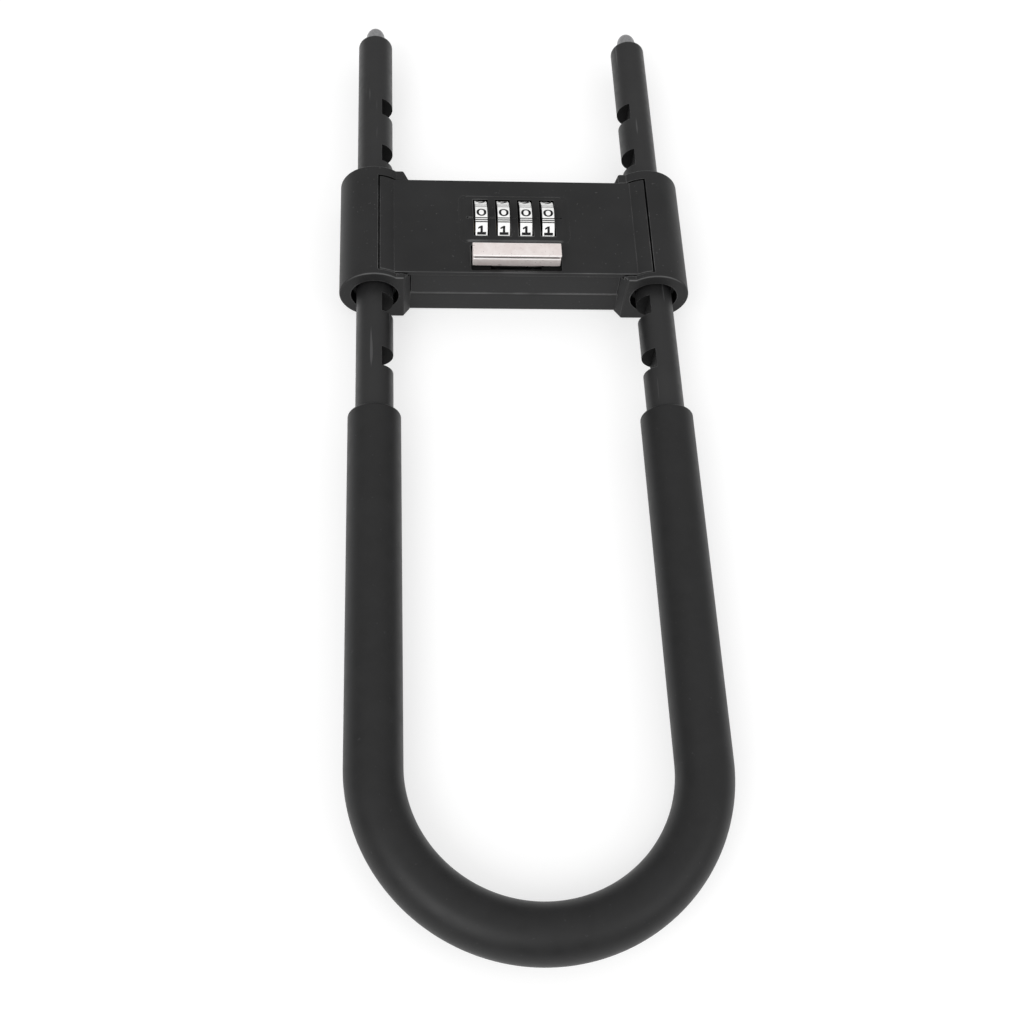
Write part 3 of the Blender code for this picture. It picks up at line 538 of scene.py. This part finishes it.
def evaluated_mesh(obj):
    bpy.context.view_layer.update()
    evaluated = obj.evaluated_get(bpy.context.evaluated_depsgraph_get())
    return bpy.data.meshes.new_from_object(evaluated)


def boxes(name, corners):
    """Boxes, each from its low corner to its high corner."""
    bm = bmesh.new()
    for low, high in corners:
        low, high = Vector(low), Vector(high)
        size = Matrix.Diagonal((*(high - low), 1))
        bmesh.ops.create_cube(bm, size=1, matrix=Matrix.Translation((low + high) / 2) @ size)
    return from_bmesh(name, bm)


def rods(name, runs, segments=24):
    """Cylinders, each from start to end with a radius."""
    bm = bmesh.new()
    for start, end, radius in runs:
        start, end = Vector(start), Vector(end)
        run = end - start
        turn = run.to_track_quat("Z", "Y").to_matrix().to_4x4()
        bmesh.ops.create_cone(
            bm,
            cap_ends=True,
            segments=segments,
            radius1=radius,
            radius2=radius,
            depth=run.length,
            matrix=Matrix.Translation((start + end) / 2) @ turn,
        )
    return from_bmesh(name, bm)


def add_wall(bm, first, second):
    """Quads between two rings with as many points."""
    for i in range(len(first)):
        j = (i + 1) % len(first)
        bm.faces.new((first[i], first[j], second[j], second[i]))


def join_rings(bm, rings, closed):
    """Skin a row of rings. Closed joins the last to the first; open caps both ends."""
    for first, second in zip(rings, rings[1:]):
        add_wall(bm, first, second)
    if closed:
        add_wall(bm, rings[-1], rings[0])
    else:
        bm.faces.new(rings[0][::-1])
        bm.faces.new(rings[-1])
    bmesh.ops.recalc_face_normals(bm, faces=bm.faces)


def plate(name, outline, low, high):
    """A closed prism over an outline in XY, from z = low to z = high."""
    bm = bmesh.new()
    bottom = [bm.verts.new((x, y, low)) for x, y in outline]
    top = [bm.verts.new((x, y, high)) for x, y in outline]
    bm.faces.new(bottom[::-1])
    bm.faces.new(top)
    add_wall(bm, bottom, top)
    bmesh.ops.recalc_face_normals(bm, faces=bm.faces)
    return from_bmesh(name, bm)


def sweep(name, path, closed=False):
    """A round tube through (centre, radius, sideways) rings; sideways is the ring's X axis."""
    bm = bmesh.new()
    rings = []
    for centre, radius, sideways in path:
        centre, sideways = Vector(centre), Vector(sideways)
        ring = []
        for side in range(TUBE_SIDES):
            angle = 2 * math.pi * side / TUBE_SIDES
            offset = sideways * math.cos(angle) + Vector((0, 0, 1)) * math.sin(angle)
            ring.append(bm.verts.new(centre + offset * radius))
        rings.append(ring)
    join_rings(bm, rings, closed)
    return from_bmesh(name, bm)


def move(obj, offset):
    """Shift the mesh and leave the object's origin where it is."""
    obj.data.transform(Matrix.Translation(offset))
    return obj


def stand_up(obj, shift=0.0):
    """Turn a plate over an XZ outline so that its thickness runs along Y."""
    obj.data.transform(Matrix.Rotation(math.radians(90), 4, "X"))
    return move(obj, (0, shift, 0))


def apply_all(obj):
    """Replace the object's mesh by its evaluated one, and drop its modifiers."""
    mesh = evaluated_mesh(obj)
    obj.modifiers.clear()
    obj.data = mesh
    return obj


def painted(obj, material):
    obj.data.materials.append(material)
    return obj


def boolean(obj, other, operation="DIFFERENCE", material=None):
    """Cut or join; the new faces take the given material, or else the object's own."""
    painted(other, material or obj.data.materials[0])
    modifier = obj.modifiers.new("boolean", "BOOLEAN")
    modifier.operation = operation
    modifier.material_mode = "TRANSFER"
    modifier.object = other
    apply_all(obj)
    bpy.data.objects.remove(other)
    return obj


def bevel(obj, width, segments=3, angle=40):
    modifier = obj.modifiers.new("bevel", "BEVEL")
    modifier.width = width
    modifier.segments = segments
    modifier.limit_method = "ANGLE"
    modifier.angle_limit = math.radians(angle)
    return apply_all(obj)


def shade(obj, angle=30):
    """Smooth shading that leaves large faces flat."""
    obj.data.shade_smooth()
    obj.data.set_sharp_from_angle(angle=math.radians(angle))
    modifier = obj.modifiers.new("weighted", "WEIGHTED_NORMAL")
    modifier.mode = "FACE_AREA"
    modifier.weight = 90
    modifier.keep_sharp = True
    return apply_all(obj)


def dress(obj, body, slot, *replaced):
    """Say which body the piece rides and the CAD nodes that it stands for; its slot is not used."""
    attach(obj, body)
    if replaced:
        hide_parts(*replaced)
    return obj


def mirrored(corners):
    """Boxes as given, and the same across x = 0."""
    return corners + [((-b[0], a[1], a[2]), (-a[0], b[1], b[2])) for a, b in corners]


# ---------------------------------------------------------------- shackle


def u_rings(end_rings):
    """Rings of a U from the left leg's end, round the bend, to the right leg's end."""
    first_y, radius = end_rings[0]
    count = max(2, round((first_y - BEND_Y) / LEG_STEP))
    legs = [first_y + (BEND_Y - first_y) * i / count for i in range(1, count)]
    left = [((-LEG_X, y, LEG_Z), r, (-1, 0, 0)) for y, r in reversed(end_rings)]
    left += [((-LEG_X, y, LEG_Z), radius, (-1, 0, 0)) for y in legs]
    bend = []
    for step in range(BEND_STEPS + 1):
        angle = math.pi + math.pi * step / BEND_STEPS
        out = Vector((math.cos(angle), math.sin(angle), 0))
        centre = Vector((0, BEND_Y, LEG_Z)) + out * LEG_X
        bend.append((centre, radius, out))
    right = [((LEG_X, y, LEG_Z), radius, (1, 0, 0)) for y in reversed(legs)]
    right += [((LEG_X, y, LEG_Z), r, (1, 0, 0)) for y, r in end_rings]
    return left + bend + right


def make_shackle(paint, cavity_shade):
    """The bent bar, its tips turned down and its legs notched on the inner side."""
    ends = [(TIP_Y - back, radius) for back, radius in TIP_RINGS]
    bar = painted(sweep("shackle_bar_fine", u_rings(ends)), paint)
    cuts = []
    for side in (-1, 1):
        near, far = sorted((side * (LEG_X - NOTCH_FLAT), side * (LEG_X - 2 * BAR_RADIUS)))
        for step in range(NOTCH_COUNT):
            y = BEND_Y + NOTCH_FIRST + step * NOTCH_PITCH
            cuts.append(((near, y - NOTCH_LENGTH / 2, 0), (far, y + NOTCH_LENGTH / 2, 2 * LEG_Z)))
    # The notches' faces take the near-black cavity material: painted shade.
    boolean(bar, boxes("notch_cuts", cuts), material=cavity_shade)
    shade(bar)
    return dress(bar, "shackle", "shackle_paint", "shackle_bar")


def make_sleeve(material):
    """A tube with a rolled lip at each end, open over the bar."""
    start = SLEEVE_END - SLEEVE_LIP
    outer_ends = [(start, SLEEVE_RADIUS)]
    for step in range(1, LIP_STEPS + 1):
        turn = math.radians(90 * step / LIP_STEPS)
        radius = SLEEVE_RADIUS - SLEEVE_LIP * (1 - math.cos(turn))
        outer_ends.append((start + SLEEVE_LIP * math.sin(turn), radius))
    inner_ends = [(SLEEVE_END - MOUTH_DEPTH, SLEEVE_BORE), (SLEEVE_END, SLEEVE_BORE + MOUTH_FLARE)]
    loop = u_rings(outer_ends) + u_rings(inner_ends)[::-1]
    sleeve = painted(sweep("shackle_sleeve_fine", loop, closed=True), material)
    shade(sleeve, 50)
    return dress(sleeve, "shackle", "black_vinyl", "shackle_sleeve")


# ---------------------------------------------------------------- case


def boss_outline(side, steps=60):
    """Section of a boss in XZ: round outside, square towards the middle of the case."""
    rise = FLANGE_TOP - LEG_Z
    start = math.atan2(rise, -math.sqrt(BOSS_RADIUS**2 - rise**2))
    points = [(side * FLANGE_INNER, 0), (side * FLANGE_INNER, FLANGE_TOP)]
    for step in range(steps + 1):
        angle = start - (start + math.pi / 2) * step / steps
        x = LEG_X + BOSS_RADIUS * math.cos(angle)
        points.append((side * x, LEG_Z + BOSS_RADIUS * math.sin(angle)))
    return points


def cheek_outline(side):
    """Plan of the slanted cheeks that join a boss to the body."""
    front, back = BOSS_EDGE - BOSS_HALF, BOSS_HALF - BOSS_EDGE
    knee = SKIRT_END + GAP
    inside = FLANGE_INNER + CHEEK_OVERLAP
    return [
        (side * inside, front),
        (side * FLANGE_INNER, front),
        (side * knee, BODY_FRONT),
        (side * knee, BODY_BACK - SKIRT_INSET),
        (side * FLANGE_INNER, back),
        (side * inside, back),
    ]


def add_bosses(base):
    for side in (-1, 1):
        boss = stand_up(plate("boss", boss_outline(side), -BOSS_HALF, BOSS_HALF))
        bevel(boss, BOSS_EDGE, 4, angle=50)
        boolean(base, boss, "UNION")
        cheek = plate("cheek", cheek_outline(side), CHEEK_INSET, FLANGE_TOP - CHEEK_INSET)
        boolean(base, cheek, "UNION")


def cut_bores(base, cavity_shade):
    """A through bore for each leg, a counterbore in front and a wider bore at the back."""
    for radius, start, end in (
        (BAR_RADIUS + GAP, -2 * BOSS_HALF, 2 * BOSS_HALF),
        (COUNTERBORE_RADIUS, -2 * BOSS_HALF, COUNTERBORE_DEPTH - BOSS_HALF),
        (BORE_RADIUS + GAP, BOSS_HALF - BORE_DEPTH, 2 * BOSS_HALF),
    ):
        runs = [((x, start, LEG_Z), (x, end, LEG_Z), radius) for x in (-LEG_X, LEG_X)]
        # The bores' walls take the near-black cavity material: painted shade.
        boolean(base, rods("bore", runs, 72), material=cavity_shade)


def add_bolt_ways(base, cavity_shade):
    """A shelf under each locking bolt, and the channel that it slides through to the leg."""
    front, back = BOLT_Y - BOLT_HALF, BOLT_Y + BOLT_HALF
    low, high = CHANNEL_ZS
    shelf = ((SHELF_X, front, FLOOR - GAP), (CAVITY_X + CHANNEL_OVERLAP, back, low))
    channel = ((CAVITY_X - CHANNEL_OVERLAP, front, low), (CHANNEL_X, back, high))
    boolean(base, boxes("shelves", mirrored([shelf])), "UNION")
    # The channels' walls take the near-black cavity material: painted shade.
    boolean(base, boxes("channels", mirrored([channel])), material=cavity_shade)


def upright_rods(name, low, high, radius, segments=24):
    """Upright cylinders at the places of the four cover screws."""
    runs = [((x, y, low), (x, y, high), radius) for x, y in SCREW_PLACES]
    return rods(name, runs, segments)


def make_base(coat, cavity_shade):
    body_end = FLANGE_INNER + BODY_OVERLAP
    body = ((-body_end, BODY_FRONT, 0), (body_end, BODY_BACK, SEAM_Z))
    base = painted(boxes("case_base_fine", [body]), coat)
    bevel(base, BODY_EDGE, 4)
    add_bosses(base)
    inside = ((-CAVITY_X, BODY_FRONT + WALL, FLOOR), (CAVITY_X, BODY_BACK - WALL, THROUGH))
    # The inside and the wing recesses take the near-black cavity material: painted shade.
    boolean(base, boxes("inside", [inside]), material=cavity_shade)
    recess_low = (CAVITY_X, COVER_FRONT - RECESS_SLACK, COVER_UNDER - GAP)
    recess_high = (WING_EDGE + RECESS_SLACK, COVER_BACK + GAP, THROUGH)
    boolean(base, boxes("recess", mirrored([(recess_low, recess_high)])), material=cavity_shade)
    cut_bores(base, cavity_shade)
    add_bolt_ways(base, cavity_shade)
    boolean(base, upright_rods("posts", FLOOR - GAP, POST_SPLIT, POST_RADIUS), "UNION")
    boolean(base, upright_rods("sinks", UNDER_CASE, SINK_DEPTH, SINK_RADIUS, 32))
    boolean(base, upright_rods("holes", UNDER_CASE, HOLE_DEPTH, HOLE_RADIUS))
    shade(move(base, (0, CASE_Y, 0)))
    return dress(base, "case", "black_paint", "case_base")


def cover_section(steps=9):
    """Cover's section in XZ: flat, with a wing each side that follows the boss just below it."""
    radius = BOSS_RADIUS - WING_DROP
    start = math.pi - math.asin((COVER_TOP - LEG_Z) / radius)
    end = math.acos((WING_EDGE - LEG_X) / radius)
    points = []
    for step in range(steps + 1):
        angle = start + (end - start) * step / steps
        points.append((LEG_X + radius * math.cos(angle), LEG_Z + radius * math.sin(angle)))
    points.append((WING_EDGE, COVER_UNDER))
    return points + [(-x, z) for x, z in reversed(points)]


def rounded_outline(half_x, low_y, high_y, radius, steps=10):
    """A rectangle about x = 0 with rounded corners."""
    points = []
    for x, y, start in (
        (half_x - radius, low_y + radius, -90),
        (half_x - radius, high_y - radius, 0),
        (-half_x + radius, high_y - radius, 90),
        (-half_x + radius, low_y + radius, 180),
    ):
        for step in range(steps + 1):
            angle = math.radians(start + 90 * step / steps)
            points.append((x + radius * math.cos(angle), y + radius * math.sin(angle)))
    return points


def make_panel():
    """The raised dial panel: a shallow plateau with sloping sides."""
    middle = sum(PANEL_YS) / 2
    outline = rounded_outline(PANEL_X, *PANEL_YS, PANEL_CORNER)
    bm = bmesh.new()
    rings = []
    for share, rise in PANEL_RINGS:
        scale_x = 1 - share * PANEL_SLOPE / PANEL_X
        scale_y = 1 - share * (1 - PANEL_SHRINK)
        z = COVER_TOP + rise
        ring = [bm.verts.new((x * scale_x, middle + (y - middle) * scale_y, z)) for x, y in outline]
        rings.append(ring)
    join_rings(bm, rings, closed=False)
    return from_bmesh("panel", bm)


def cut_windows(cover, cavity_shade):
    """One round window over each dial."""
    half, reach = DIAL_WIDTH / 2 + WINDOW_GAP, DIAL_RADIUS + WINDOW_GAP
    runs = [((x - half, DIAL_Y, DIAL_Z), (x + half, DIAL_Y, DIAL_Z), reach) for x in DIAL_XS]
    # The windows' walls take the near-black cavity material: painted shade in the gaps round the
    # dials.
    boolean(cover, rods("windows", runs, 128), material=cavity_shade)


def cut_pocket(cover, cavity_shade):
    """The slide bar's pocket, and the slot that its stem travels in."""
    half_x = (BUTTON_HIGH[0] - BUTTON_LOW[0]) / 2 + POCKET_GAP
    outline = rounded_outline(half_x, *POCKET_YS, POCKET_CORNER, 6)
    # The pocket and the slot take the near-black cavity material: painted shade.
    boolean(cover, plate("pocket", outline, POCKET_FLOOR, THROUGH), material=cavity_shade)
    slot_x = STEM_X + 2 * GAP
    front = BUTTON_Y - BUTTON_TRAVEL - STEM_HALF - GAP
    slot = ((-slot_x, front, SLOT_FLOOR), (slot_x, BUTTON_Y + STEM_HALF + GAP, THROUGH))
    boolean(cover, boxes("slot", [slot]), material=cavity_shade)


def cut_index_line(cover, cavity_shade):
    """A fine line level with the digits on top of the dials, with a dot at each end."""
    x = PANEL_X - PANEL_SLOPE - LINE_INSET
    z = COVER_TOP + PANEL_RISE - LINE_DEPTH
    line = ((-x, DIAL_Y - LINE_HALF, z), (x, DIAL_Y + LINE_HALF, THROUGH))
    boolean(cover, boxes("index_line", [line]))
    dots = [((end, DIAL_Y, z), (end, DIAL_Y, THROUGH), 2 * LINE_HALF) for end in (-x, x)]
    # The dots take the near-black cavity material: painted shade.
    boolean(cover, rods("index_dots", dots, 16), material=cavity_shade)


def make_cover(coat, cavity_shade):
    cover = painted(plate("case_cover_fine", cover_section(), COVER_FRONT, COVER_BACK), coat)
    stand_up(cover, COVER_FRONT + COVER_BACK)
    bevel(cover, COVER_EDGE, angle=50)
    for y in (BODY_FRONT, BODY_BACK - SKIRT_INSET - WALL):
        skirt = ((-SKIRT_END, y, SEAM_Z + GAP), (SKIRT_END, y + WALL, COVER_JOIN))
        boolean(cover, boxes("skirt", [skirt]), "UNION")
    boolean(cover, upright_rods("posts", POST_SPLIT + GAP, COVER_JOIN, POST_RADIUS), "UNION")
    boolean(cover, make_panel(), "UNION")
    cut_windows(cover, cavity_shade)
    cut_pocket(cover, cavity_shade)
    cut_index_line(cover, cavity_shade)
    shade(move(cover, (0, CASE_Y, 0)))
    return dress(cover, "case", "black_paint", "case_cover")


def make_screws(metal):
    """Case screws with a cross recess, heads down under the case."""
    for index, (x, y) in enumerate(SCREW_PLACES, 1):
        low, high = [corner[2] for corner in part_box(f"cover_screw_{index}")]
        name = f"cover_screw_{index}_fine"
        head_run = ((0, 0, low), (0, 0, low + HEAD_HEIGHT), HEAD_RADIUS)
        head = painted(rods(name, [head_run], 40), metal)
        bevel(head, HEAD_EDGE)
        shank = rods("shank", [((0, 0, low + SHANK_START), (0, 0, high), SHANK_RADIUS)])
        boolean(head, shank, "UNION")
        for half_x, half_y in (CROSS_HALVES, CROSS_HALVES[::-1]):
            arm = ((-half_x, -half_y, UNDER_CASE), (half_x, half_y, low + CROSS_DEPTH))
            boolean(head, boxes("recess", [arm]))
        shade(move(head, (x, CASE_Y + y, 0)))
        dress(head, "case", "zinc_screw", f"cover_screw_{index}")


# ---------------------------------------------------------------- dials


def rim_profile():
    """Half width against drop of the rim: the dial's edge is softly rounded."""
    flat = DIAL_WIDTH / 2 - RIM_EDGE
    points = []
    for step in range(RIM_STEPS + 1):
        turn = math.radians(90 * step / RIM_STEPS)
        points.append((flat + RIM_EDGE * math.sin(turn), RIM_EDGE * (1 - math.cos(turn))))
    return [(-x, drop) for x, drop in reversed(points)] + points


def groove_depth(offset):
    """Depth of the finger grooves at an angle, in degrees from a digit's middle."""
    depth = 0.0
    for middle in GROOVES:
        share = abs(offset - middle) / GROOVE_HALF
        if share < 1:
            depth = max(depth, GROOVE_DEPTH * (1 - share * share))
    return depth


def make_dial(index, x, chrome, side):
    """A ring with grooves between its digits; its flanks and the grooves' floors take a dark metal
    as painted shade.
    """
    bm = bmesh.new()
    rim = rim_profile()
    rings = []
    for step in range(DIAL_STEPS):
        degrees = 360 * step / DIAL_STEPS
        offset = (degrees + DIGIT_ANGLE / 2) % DIGIT_ANGLE - DIGIT_ANGLE / 2
        groove = groove_depth(offset)
        angle = math.radians(degrees)
        out = Vector((0, -math.sin(angle), math.cos(angle)))
        section = [(along, DIAL_RADIUS - max(drop, groove)) for along, drop in rim]
        section += [(DIAL_WIDTH / 2, DIAL_BORE), (-DIAL_WIDTH / 2, DIAL_BORE)]
        rings.append([bm.verts.new(Vector((along, 0, 0)) + out * r) for along, r in section])
    join_rings(bm, rings, closed=True)
    for face in bm.faces:
        middle = face.calc_center_median()
        deep = math.hypot(middle.y, middle.z) < DIAL_RADIUS - DARK_DEPTH
        face.material_index = int(abs(face.normal.x) > FLANK_FACING or deep)
    dial = painted(painted(from_bmesh(f"dial_{index}_fine", bm), chrome), side)
    shade(move(dial, (x, CASE_Y + DIAL_Y, DIAL_Z)), 40)
    return dress(dial, f"dial_wheel_{index}", "dial_chrome", f"dial_{index}")


def font_mesh(text):
    curve = bpy.data.curves.new("numeral", "FONT")
    curve.body = text
    curve.size = FONT_SIZE
    curve.offset = FONT_SWELL
    curve.resolution_u = FONT_STEPS
    obj = link(bpy.data.objects.new("numeral", curve))
    bm = bmesh.new()
    bm.from_mesh(evaluated_mesh(obj))
    bpy.data.objects.remove(obj)
    return bm


def digit_mesh(digit):
    """A numeral centred on the origin in XY, with rows of points for bending."""
    if digit == 1:
        bm = bmesh.new()
        bm.faces.new([bm.verts.new((x, y, 0)) for x, y in ONE])
    else:
        bm = font_mesh(str(digit))
    xs = [vert.co.x for vert in bm.verts]
    ys = [vert.co.y for vert in bm.verts]
    width = DIGIT_WIDTH * (ONE_SHARE if digit == 1 else 1)
    for vert in bm.verts:
        vert.co.x = (vert.co.x - (min(xs) + max(xs)) / 2) * width / (max(xs) - min(xs))
        vert.co.y = (vert.co.y - (min(ys) + max(ys)) / 2) * DIGIT_HEIGHT / (max(ys) - min(ys))
        vert.co.z = 0
    half_rows = int(DIGIT_ROWS / 2)
    for row in range(-half_rows, half_rows + 1):
        geometry = bm.verts[:] + bm.edges[:] + bm.faces[:]
        place = (0, row * DIGIT_HEIGHT / DIGIT_ROWS, 0)
        bmesh.ops.bisect_plane(bm, geom=geometry, plane_co=place, plane_no=(0, 1, 0))
    return bm


def make_numbers(index, x, ink):
    """Ten printed numerals, each a thin skin bent round the rim."""
    out = bmesh.new()
    for digit in range(DIGITS):
        bm = digit_mesh(digit)
        extruded = bmesh.ops.extrude_face_region(bm, geom=bm.faces[:])
        top = {item for item in extruded["geom"] if isinstance(item, bmesh.types.BMVert)}
        bmesh.ops.recalc_face_normals(bm, faces=bm.faces)
        middle = 2 * math.pi * digit / DIGITS
        for vert in bm.verts:
            radius = DIAL_RADIUS + (INK_PROUD if vert in top else -INK_SUNK)
            angle = middle - vert.co.y / DIAL_RADIUS
            vert.co = Vector((vert.co.x, -math.sin(angle) * radius, math.cos(angle) * radius))
        bmesh.ops.recalc_face_normals(bm, faces=bm.faces)
        part = bpy.data.meshes.new("part")
        bm.to_mesh(part)
        bm.free()
        out.from_mesh(part)
        bpy.data.meshes.remove(part)
    numbers = painted(from_bmesh(f"dial_{index}_numbers", out), ink)
    move(numbers, (x, CASE_Y + DIAL_Y, DIAL_Z))
    return dress(numbers, f"dial_wheel_{index}", "dial_chrome")


# ---------------------------------------------------------------- slide bar


def make_button(metal, cavity_shade):
    """The slide bar: a thin lipped cap over a block, on a stem through the cover."""
    low, high = Vector(BUTTON_LOW), Vector(BUTTON_HIGH)
    middle = (low + high) / 2
    half = (high - low) / 2
    lip_under = high.z - LIP
    block_low = COVER_TOP - BLOCK_SUNK
    lip = ((-half.x, -half.y, lip_under), (half.x, half.y, high.z))
    cap = painted(boxes("slide_button_fine", [lip]), metal)
    bevel(cap, BUTTON_EDGE)
    neck_x, neck_y = half.x - NECK_INSET, half.y - NECK_INSET
    neck = ((-neck_x, -neck_y, lip_under - 2 * LIP_GROOVE), (neck_x, neck_y, high.z - LIP / 2))
    # The neck under the lip takes the near-black cavity material: painted shade in the groove.
    boolean(cap, boxes("neck", [neck]), "UNION", cavity_shade)
    block_x, block_y = half.x - LIP_PROUD, half.y - LIP_PROUD
    block_high = lip_under - LIP_GROOVE
    block = boxes("block", [((-block_x, -block_y, block_low), (block_x, block_y, block_high))])
    bevel(block, BUTTON_EDGE)
    boolean(cap, block, "UNION")
    stem = ((-STEM_X, -STEM_HALF, low.z), (STEM_X, STEM_HALF, block_low + STEM_OVERLAP))
    boolean(cap, boxes("stem", [stem]), "UNION")
    shade(move(cap, (middle.x, middle.y, 0)))
    return dress(cap, "slide", "satin_zinc", "slide_button")


# ---------------------------------------------------------------- stage


def add_camera():
    data = bpy.data.cameras.new("camera")
    data.lens = CAMERA_LENS
    data.sensor_width = SENSOR_WIDTH
    data.shift_x, data.shift_y = CAMERA_SHIFT
    data.clip_start = CLIP_START
    camera = link(bpy.data.objects.new("camera", data))
    camera.location = CAMERA_PLACE
    camera.rotation_euler = Euler([math.radians(angle) for angle in CAMERA_TURN])
    bpy.context.scene.camera = camera


def add_floor():
    """A white light table: its own faint glow keeps the shadows pale."""
    bm = bmesh.new()
    bmesh.ops.create_grid(bm, x_segments=1, y_segments=1, size=FLOOR_SIZE)
    floor = from_bmesh("floor", bm)
    floor.location.z = -FLOOR_DROP
    table = Finish("floor_table", (0.46, 0.46, 0.46), 0.9)
    cloud = table.noise(3, detail=3.0)
    table.drive("Base Color", table.blend(cloud, (0.45, 0.45, 0.45), (0.47, 0.47, 0.47)))
    table.set("Specular IOR Level", 0.1)
    table.set("Emission Color", (1, 1, 1, 1))
    table.set("Emission Strength", FLOOR_GLOW)
    painted(floor, table.material)


def add_area(name, place, power):
    """A rectangular light that looks at the origin."""
    data = bpy.data.lights.new(name, "AREA")
    data.shape = "RECTANGLE"
    data.size, data.size_y = LIGHT_SIZE
    data.energy = power
    light = link(bpy.data.objects.new(name, data))
    light.location = place
    light.rotation_euler = (-Vector(place)).to_track_quat("-Z", "Y").to_euler()


def add_light():
    """White surroundings, a soft key from the camera's left and a weaker fill from its right."""
    world = bpy.data.worlds.new("studio")
    world.use_nodes = True
    nodes, links = world.node_tree.nodes, world.node_tree.links
    background = nodes["Background"]
    direction = nodes.new("ShaderNodeTexCoord")
    split = nodes.new("ShaderNodeSeparateXYZ")
    height = nodes.new("ShaderNodeMapRange")
    height.inputs["To Min"].default_value = HORIZON
    height.inputs["To Max"].default_value = ZENITH
    background.inputs["Color"].default_value = (1, 1, 1, 1)
    links.new(direction.outputs["Generated"], split.inputs["Vector"])
    links.new(split.outputs["Z"], height.inputs["Value"])
    links.new(height.outputs["Result"], background.inputs["Strength"])
    scene = bpy.context.scene
    scene.world = world
    scene.view_settings.view_transform = "Standard"
    add_area("key", KEY_PLACE, KEY_POWER)
    add_area("fill", FILL_PLACE, FILL_POWER)


# ---------------------------------------------------------------- assembly


def dress_frame_nodes():
    """Give every CAD node that still shows a finish of its own."""
    ground, turned = (0.1, 1, 1), (1, 0.1, 0.1)
    steel = worked_metal("pressed_steel", (0.46, 0.46, 0.47), (0.60, 0.60, 0.61), 0.34)
    spring = worked_metal("spring_steel", (0.38, 0.39, 0.41), (0.50, 0.51, 0.53), 0.30)
    hard = worked_metal("ground_steel", (0.40, 0.40, 0.42), (0.54, 0.54, 0.56), 0.28, ground)
    # Darker and duller than clean brass: brass tone with painted shade, where the spacers show in
    # the gaps beside the dials.
    brass = worked_metal("turned_brass", (0.24, 0.18, 0.09), (0.34, 0.27, 0.15), 0.36, turned)
    zinc = worked_metal("zinc_plate", (0.55, 0.56, 0.58), (0.68, 0.68, 0.70), 0.36)
    looks = {
        "bare_steel": steel,
        "spring_steel": spring,
        "hard_steel": hard,
        "brass": brass,
        "zinc_screw": zinc,
        "black_nylon": moulded("black_nylon", (0.012, 0.012, 0.0125), 0.5),
        "black_rubber": moulded("black_rubber", (0.008, 0.008, 0.008), 0.65),
    }
    slots = {part["node"]: part["material_slot"] for part in frame["record"]["subparts"]}
    for node, obj in frame["nodes"].items():
        material = looks.get(slots[node])
        if material:
            obj.data.materials.clear()
            painted(obj, material)
    return zinc


def main():
    add_camera()
    add_floor()
    add_light()
    coat, cavity_shade = powder_coat(), raw_cavity()
    chrome, ink = satin_chrome(), number_ink()
    # Dark metal on the dials' flanks and groove floors: painted shade in the gaps and grooves.
    side = worked_metal("dial_flank_shade", (0.05, 0.05, 0.05), (0.09, 0.09, 0.09), 0.5)
    zinc = dress_frame_nodes()
    make_shackle(shackle_paint(), cavity_shade)
    make_sleeve(vinyl())
    make_base(coat, cavity_shade)
    make_cover(coat, cavity_shade)
    for index, x in enumerate(DIAL_XS, 1):
        make_dial(index, x, chrome, side)
        make_numbers(index, x, ink)
    make_button(satin_plate(), cavity_shade)
    make_screws(zinc)


main()
